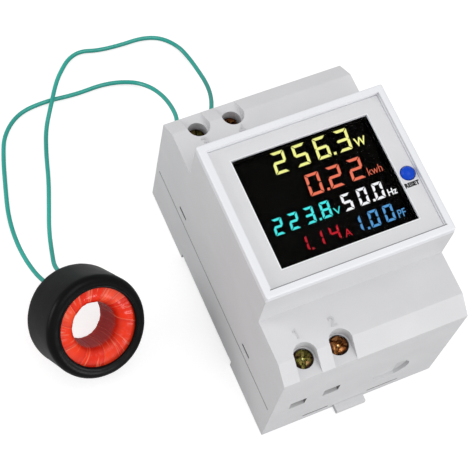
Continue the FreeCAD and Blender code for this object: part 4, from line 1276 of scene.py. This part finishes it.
@dataclass
class FrontPanel(Maker):
    """Front frame, label, display and reset button. Sizes are in millimetres."""

    label_top: float = 63.1
    label_low: float = 62.6
    glass_top: float = 61.4
    window: Pair = (19.7, 16.0)
    rim: float = 0.35
    play: float = 0.1
    border: float = 0.8
    border_wall: float = 0.06
    button: Pair = (22.5, -3.35)
    cap_radius: float = 1.95
    readouts: tuple[Readout, ...] = (
        Readout("readout_power", "lit_yellow", (("2", -9.6), ("5", -3.45), ("6", 2.6), ("3", 8.75)), 7.15,
                8.85, 6.25, 3.85, 0.78, "W", 13.5, (3.3, 2.5), 0.02),
        Readout("readout_energy", "lit_orange", (("0", -3.65), ("2", 2.35), ("2", 8.45)), 1.15,
                0.15, 6.1, 3.9, 0.76, "kwh", 13.2, (4.1, 2.3), -0.014),
        Readout("readout_voltage", "lit_cyan", (("2", -16.8), ("2", -12.4), ("3", -7.9), ("8", -3.3)), -4.35,
                -6.8, 4.6, 2.75, 0.66, "V", 0.0, (2.0, 1.9)),
        Readout("readout_frequency", "lit_white", (("5", 2.9), ("0", 7.45), ("0", 12.0)), 11.1,
                -6.95, 4.75, 2.75, 0.70, "Hz", 15.6, (2.6, 1.9), 0.018),
        Readout("readout_current", "lit_red", (("1", -12.7), ("1", -8.35), ("4", -3.75)), -9.5,
                -13.45, 4.3, 2.6, 0.52, "A", 0.0, (1.9, 2.1)),
        Readout("readout_factor", "lit_blue", (("1", 2.6), ("0", 7.55), ("0", 11.85)), 6.4,
                -13.55, 4.6, 2.7, 0.64, "PF", 15.45, (2.2, 2.2)),
    )

    def build_frame(self) -> None:
        """Make the raised frame and the label with its print."""
        outer = Rounding(0.5 * MM, lambda p: (abs(p.x) > 26.5 * MM or abs(p.y) > 22 * MM) and p.z > 63 * MM,
                         steps=4)
        inner = Rounding(0.18 * MM, lambda p: p.z > 62 * MM, steps=2, shortest=0.4 * MM)
        self.soften("bezel_frame", "front_frame", "frame_white", "frame_plastic", outer, inner)
        trim = Rounding(0.06 * MM, steps=2, shortest=0.3 * MM)
        self.soften("front_label", "label_sheet", "label_grey", "label", trim)
        bm = bmesh.new()
        wide, tall = self.window
        plate_with_window(bm, (wide + self.rim, tall + self.rim), self.window, self.label_top - 0.1,
                          self.label_top + 0.07)
        bmesh.ops.bevel(bm, geom=bm.edges[:], offset=0.03 * MM, segments=1, affect="EDGES",
                        clamp_overlap=True)
        self.piece(bm, "window_rim", "window_rim", "case", "label")
        bm = bmesh.new()
        add_words(bm, "RESET", (20.1, -7.25), (4.2, 1.35), self.label_top - 0.01, 0.03, weight=0.06)
        self.piece(bm, "button_print", "print_black", "case", "label")

    def build_display(self) -> None:
        """Make the lens, the black border behind it and the lit figures."""
        wide, tall = self.window[0] - self.play, self.window[1] - self.play
        opening = (wide - self.border, tall - self.border)
        bm = bmesh.new()
        slab(bm, rectangle(wide, tall), self.label_low + 0.04, self.label_top)
        bmesh.ops.bevel(bm, geom=bm.edges[:], offset=0.08 * MM, segments=2, profile=0.5, affect="EDGES")
        self.piece(bm, "window_lens", "lens_clear", "case", "lens", "display_lens")
        bm = bmesh.new()
        plate_with_window(bm, (wide, tall), opening, self.label_low + 0.005, self.label_low + 0.03)
        wall = (opening[0] + self.border_wall, opening[1] + self.border_wall)
        plate_with_window(bm, wall, opening, self.glass_top + 0.02, self.label_low + 0.004)
        self.piece(bm, "window_mask", "panel_black", "case", "display")
        for readout in self.readouts:
            self.piece(readout.build(self.glass_top - 0.01), readout.name, readout.finish, "case", "display")

    def build_button(self) -> None:
        """Make the domed reset button."""
        cap = self.cap_radius
        profile: Outline = [(0, 57.6), (1.1, 57.6), (1.2, 57.7), (1.2, 60.5), (2.2, 60.5), (2.3, 60.6),
                            (2.3, 61.2), (2.2, 61.3), (cap, 61.3), (cap, 62.9)]
        angles = [math.radians(angle) for angle in range(6, 90, 7)]
        profile += [(cap * math.cos(angle), 62.95 + 1.45 * math.sin(angle)) for angle in angles]
        profile.append((0, 64.4))
        bm = turned(profile, 48, Matrix.Translation(Vector((*self.button, 0)) * MM))
        self.piece(bm, "reset_cap", "button_blue", "reset", "blue_plastic", "reset_button")

    def build(self) -> None:
        """Make the whole front."""
        self.build_frame()
        self.build_display()
        self.build_button()


@dataclass
class TerminalScrews(Maker):
    """The four terminal screws, with recessed heads and threaded shanks. Sizes are in millimetres."""

    coils: CoilRule
    places: dict[int, tuple[float, float, float, float]] = field(default_factory=lambda: {
        1: (-19.2, -34.9, 45.2, 67.0), 2: (-9.0, -34.9, 45.2, 47.0),
        3: (-19.2, 34.9, 41.6, -22.0), 4: (-9.0, 34.9, 41.6, 12.0),
    })
    low_seat: float = 21.15
    rise: float = 3.6
    head: float = 2.6
    rim: float = 2.12
    shank: float = 1.58
    pitch: float = 0.6
    thread: float = 0.17
    thread_start: float = 0.4
    thread_stop: float = 2.6
    slots: tuple[Point, ...] = ((2.8, 0.55, 1.3), (0.4, 2.1, 0.9))

    def shape(self, top: float, seat: float, place: Matrix, tones: list[Material]) -> BMesh:
        """Turn one screw and cut its slot and cross.

        Args:
            top: The height of the head's top.
            seat: The height at which the plate's tip starts.
            place: Where the screw stands.
            tones: The materials of its face, its slots (painted shade), its middle (painted glint) and its
                rim (painted dark reflection).

        Returns:
            The screw.
        """
        shank, head = self.shank, self.head
        profile: Outline = [
            (0, seat - 0.9), (0.85, seat - 0.9), (1.0, seat - 0.75), (1.0, seat), (1.35, seat),
            (shank, seat + 0.3), (shank, top - 2.4), (2.3, top - 2.4), (2.5, top - 2.3), (head, top - 2.1),
            (head, top - 0.75), (2.5, top - 0.42), (2.2, top - 0.18), (1.7, top - 0.05), (0.9, top), (0, top),
        ]
        pit: Outline = [(0, top - 1.7), (0.4, top - 1.5), (1.25, top + 0.3), (0, top + 0.3)]
        screw = to_object(turned(profile, 64, place), "screw", tones[0])
        cutter = bmesh.new()
        for wide, tall, depth in self.slots:
            slab(cutter, rectangle(wide, tall), top - depth, top + 0.5)
        cutter.transform(place)
        bmesh.ops.recalc_face_normals(cutter, faces=cutter.faces[:])
        tools = [to_object(cutter, "slot_tool", tones[1]),
                 to_object(turned(pit, 20, place), "pit_tool", tones[2])]
        for tool in tools:
            cut = screw.modifiers.new("recess", "BOOLEAN")
            cut.operation, cut.object, cut.solver = "DIFFERENCE", tool, "EXACT"
            cut.use_self, cut.material_mode = True, "TRANSFER"
        bm = final_mesh(screw)
        for tool in tools:
            bpy.data.objects.remove(tool)
        bmesh.ops.remove_doubles(bm, verts=bm.verts, dist=COARSE_WELD)
        # The outer band of the head's face takes the rim material, a painted dark reflection.
        back = place.inverted()
        for face in bm.faces:
            spot = back @ face.calc_center_median()
            if face.material_index == 0 and math.hypot(spot.x, spot.y) > self.rim * MM:
                face.material_index = len(tones) - 1
        return bm

    def build(self) -> None:
        """Make the four screws with their threads."""
        for number, (x, y, top, turn) in self.places.items():
            seat = self.low_seat + (self.rise if y < 0 else 0.0)
            place = Matrix.Translation(Vector((x, y, 0)) * MM) @ Matrix.Rotation(math.radians(turn), 4, "Z")
            body = f"screw_{number}"
            # Olive or copper passivation tint by screw; the recess, glint and rim finishes carry painted
            # shade, a painted highlight and a painted dark reflection.
            tone = "olive" if number in (1, 3) else "copper"
            tones = [self.finishes[f"{part}_{tone}"] for part in ("screw", "recess", "glint", "rim")]
            shape = self.shape(top, seat, place, tones)
            screw = to_object(shape, f"terminal_screw_head_{number}", *tones, sharp=32)
            settle(screw, body, "screw_metal", f"terminal_screw_{number}")
            start = Matrix.Translation(Vector((x, y, seat + self.thread_start)) * MM)
            length = top - self.thread_stop - seat - self.thread_start
            sizes = (length / self.pitch, self.shank * MM, length * MM, self.thread * MM)
            thread = self.coils.make(*sizes, start)
            self.piece(thread, f"terminal_thread_{number}", "screw_" + tone, body, "screw_metal", sharp=80)


@dataclass
class LatchSpring(Maker):
    """The wire spring behind the rail latch. Sizes are in metres."""

    coils: CoilRule
    fixed_end: float = -0.0341
    length: float = 0.0090
    height: float = 0.0037
    radius: float = 0.00098
    wire: float = 0.0002
    turns: float = 9.0
    travel: float = 0.0032

    def build(self) -> None:
        """Wind the spring along Y, the direction in which the latch is pulled."""
        inset = 1.2 * self.wire
        start = Matrix.Translation((0, self.fixed_end + inset, self.height))
        place = start @ Matrix.Rotation(-math.pi / 2, 4, "X")
        coil = self.coils.make(self.turns, self.radius, self.length - 2 * inset, self.wire, place)
        spring = self.piece(coil, "latch_spring_wire", "plated_steel", "case", "steel", "latch_spring",
                            sharp=80)
        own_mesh(spring)


@dataclass(frozen=True)
class Ripple:
    """Seamless noise round the ring, with a depth in millimetres."""

    depth: float
    stretch: float
    size: float
    seed: float

    def at(self, angle: float, height: float) -> float:
        """The noise at an angle and a height, from -1 to 1."""
        across, up = math.cos(angle) * self.size, math.sin(angle) * self.size
        return noise.noise(Vector((across, up, height * self.stretch + self.seed)))


@dataclass
class RingTransformer(Maker):
    """The taped coil in its black sleeve. Sizes are in millimetres."""

    centre: Point = (-62.6, 4.7, 15.2899)
    azimuth: float = -75.5
    elevation: float = 48.0
    radius: float = 15.0
    width: float = 16.8
    edge: float = 2.4
    lip: float = 11.2
    lip_thickness: float = 1.2
    wall: float = 1.4
    inner_round: float = 1.2
    bore: float = 6.4
    straight: float = 4.2
    tape_outer: float = 12.3
    tape_half: float = 7.1
    tape_thickness: float = 0.4
    sinks: tuple[Ripple, ...] = (Ripple(0.36, 0.06, 1.3, 4.0), Ripple(0.10, 0.3, 5.0, 9.0))
    fold: Ripple = Ripple(0.26, 0.05, 3.0, 3.0)
    crease: Ripple = Ripple(0.16, 0.06, 6.5, 6.0)

    def place(self) -> Matrix:
        """Work out where the ring's axis stands.

        Returns:
            The turn and the place of the ring.
        """
        turn, lean = math.radians(self.azimuth), math.radians(self.elevation)
        axis = Vector((math.cos(lean) * math.cos(turn), math.cos(lean) * math.sin(turn), math.sin(lean)))
        level = Vector((-math.sin(turn), math.cos(turn), 0))
        basis = Matrix((level, axis.cross(level), axis)).transposed().to_4x4()
        return Matrix.Translation(Vector(self.centre) * MM) @ basis

    def tape_lift(self, angle: float, radius: float, height: float) -> float:
        """The wraps and folds of the tape, deepest at the bore where its width gathers.

        Args:
            angle: The angle round the ring.
            radius: The point's radius.
            height: Its place along the axis.

        Returns:
            How far the point moves outwards, in millimetres.
        """
        gather = 0.3 + 0.7 * max(0.0, min(1.0, (11.5 - radius) / 4.0))
        crease = -abs(self.crease.at(angle, height))
        return gather * (self.fold.depth * self.fold.at(angle, height) + self.crease.depth * crease)

    def sink(self, angle: float, height: float) -> float:
        """How far the sleeve sinks at a point, in millimetres."""
        return sum(sink.depth * (0.5 + 0.5 * sink.at(angle, height)) for sink in self.sinks)

    def build_sleeve(self) -> None:
        """Make the sleeve, which sinks where the coil under it is lower."""
        half, edge, lip = self.width / 2, self.edge, self.lip
        under, inner, soft = half - self.lip_thickness, self.radius - self.wall, self.inner_round
        bead = self.lip_thickness / 2
        skin = quarter((self.radius - edge, half - edge), edge, 0, 90, 10)
        flat = self.radius - edge - lip - bead
        skin += [(lip + bead + flat * share, half) for share in (0.75, 0.5, 0.25)]
        top = skin + quarter((lip + bead, half - bead), bead, 90, 270)
        top += [(inner - soft, under)] + quarter((inner - soft, under - soft), soft, 90, 0, 5)[1:]
        side = [(self.radius, (half - edge) * share) for share in (-0.8, -0.4, 0.0, 0.4, 0.8)]
        outline = side + top + below(top)
        first, last = len(side) + len(skin), len(outline) - len(skin)

        def lift(angle: float, number: int, _: float, height: float) -> float:
            """Sink the outer skin only."""
            return 0.0 if first <= number < last else -self.sink(angle, height)

        bm = turned(outline, 180, self.place(), True, lift)
        self.piece(bm, "transformer_sleeve", "sleeve_black", "case", "sleeve", "ct_sleeve", sharp=60)

    def build_tape(self) -> None:
        """Make the tape."""
        half, thick = self.tape_half, self.tape_thickness
        bend = half - self.straight
        curve = bend + self.bore
        shares = (0.0, 0.2, 0.4, 0.6, 0.8)
        face = [(self.tape_outer + (curve - self.tape_outer) * share, half) for share in shares]
        arc = quarter((curve, self.straight), bend, 90, 180)
        front = face + arc + [(self.bore, self.straight * share) for share in (0.66, 0.33, 0.0)]
        outer = front + below(front[:-1])
        back_arc = quarter((curve, self.straight), bend - thick, 180, 90, 6)
        inside = [(self.tape_outer, thick - half), *below(back_arc)]
        inside += [*back_arc, (self.tape_outer, half - thick)]

        def lift(angle: float, number: int, radius: float, height: float) -> float:
            """Fold the outer skin only."""
            return self.tape_lift(angle, radius, height) if number < len(outer) else 0.0

        bm = turned(outer + inside, 480, self.place(), True, lift)
        self.piece(bm, "transformer_tape", "tape_red", "case", "red_tape", "ct_tape", sharp=75)

    def build(self) -> None:
        """Make the ring's outer pieces."""
        self.build_sleeve()
        self.build_tape()


@dataclass
class PlainNodes(Maker):
    """The CAD nodes that keep their own shape and get a finish."""

    finish_of_slot: dict[str, str] = field(default_factory=lambda: {
        "case_plastic": "case_grey", "frame_plastic": "frame_white", "label": "label_grey",
        "lens": "lens_clear", "display": "panel_black", "black_plastic": "moulded_black",
        "light_guide": "light_guide", "board": "board_green", "steel": "plated_steel",
        "screw_metal": "screw_copper", "copper": "bare_copper", "blue_plastic": "button_blue",
        "yellow_plastic": "potting_yellow", "can_metal": "can_sleeve", "disc_coat": "disc_blue",
        "cable_grey": "ribbon_grey", "core_metal": "plated_steel", "winding": "wound_copper",
        "red_tape": "tape_red", "sleeve": "sleeve_black", "wire_green": "wire_green",
    })

    def build(self) -> None:
        """Dress every node by its slot in the record."""
        for part in frame["record"]["subparts"]:
            for slot in frame["nodes"][part["node"]].material_slots:
                slot.material = self.finishes[self.finish_of_slot[part["material_slot"]]]
            LOG.info("%s dressed", part["node"])


def main() -> None:
    """Build the scene in order, with the camera and the wires first."""
    logging.basicConfig(level=logging.INFO, format="%(message)s")
    studio = Studio()
    studio.camera()
    finishes = Finishes()
    PlainNodes(finishes).build()
    TransformerWires(finishes).build()
    coils = CoilRule()
    Housing(finishes).build()
    FrontPanel(finishes).build()
    TerminalScrews(finishes, coils).build()
    LatchSpring(finishes, coils).build()
    RingTransformer(finishes).build()
    studio.build()
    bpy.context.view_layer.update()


if __name__ == "__main__":
    main()
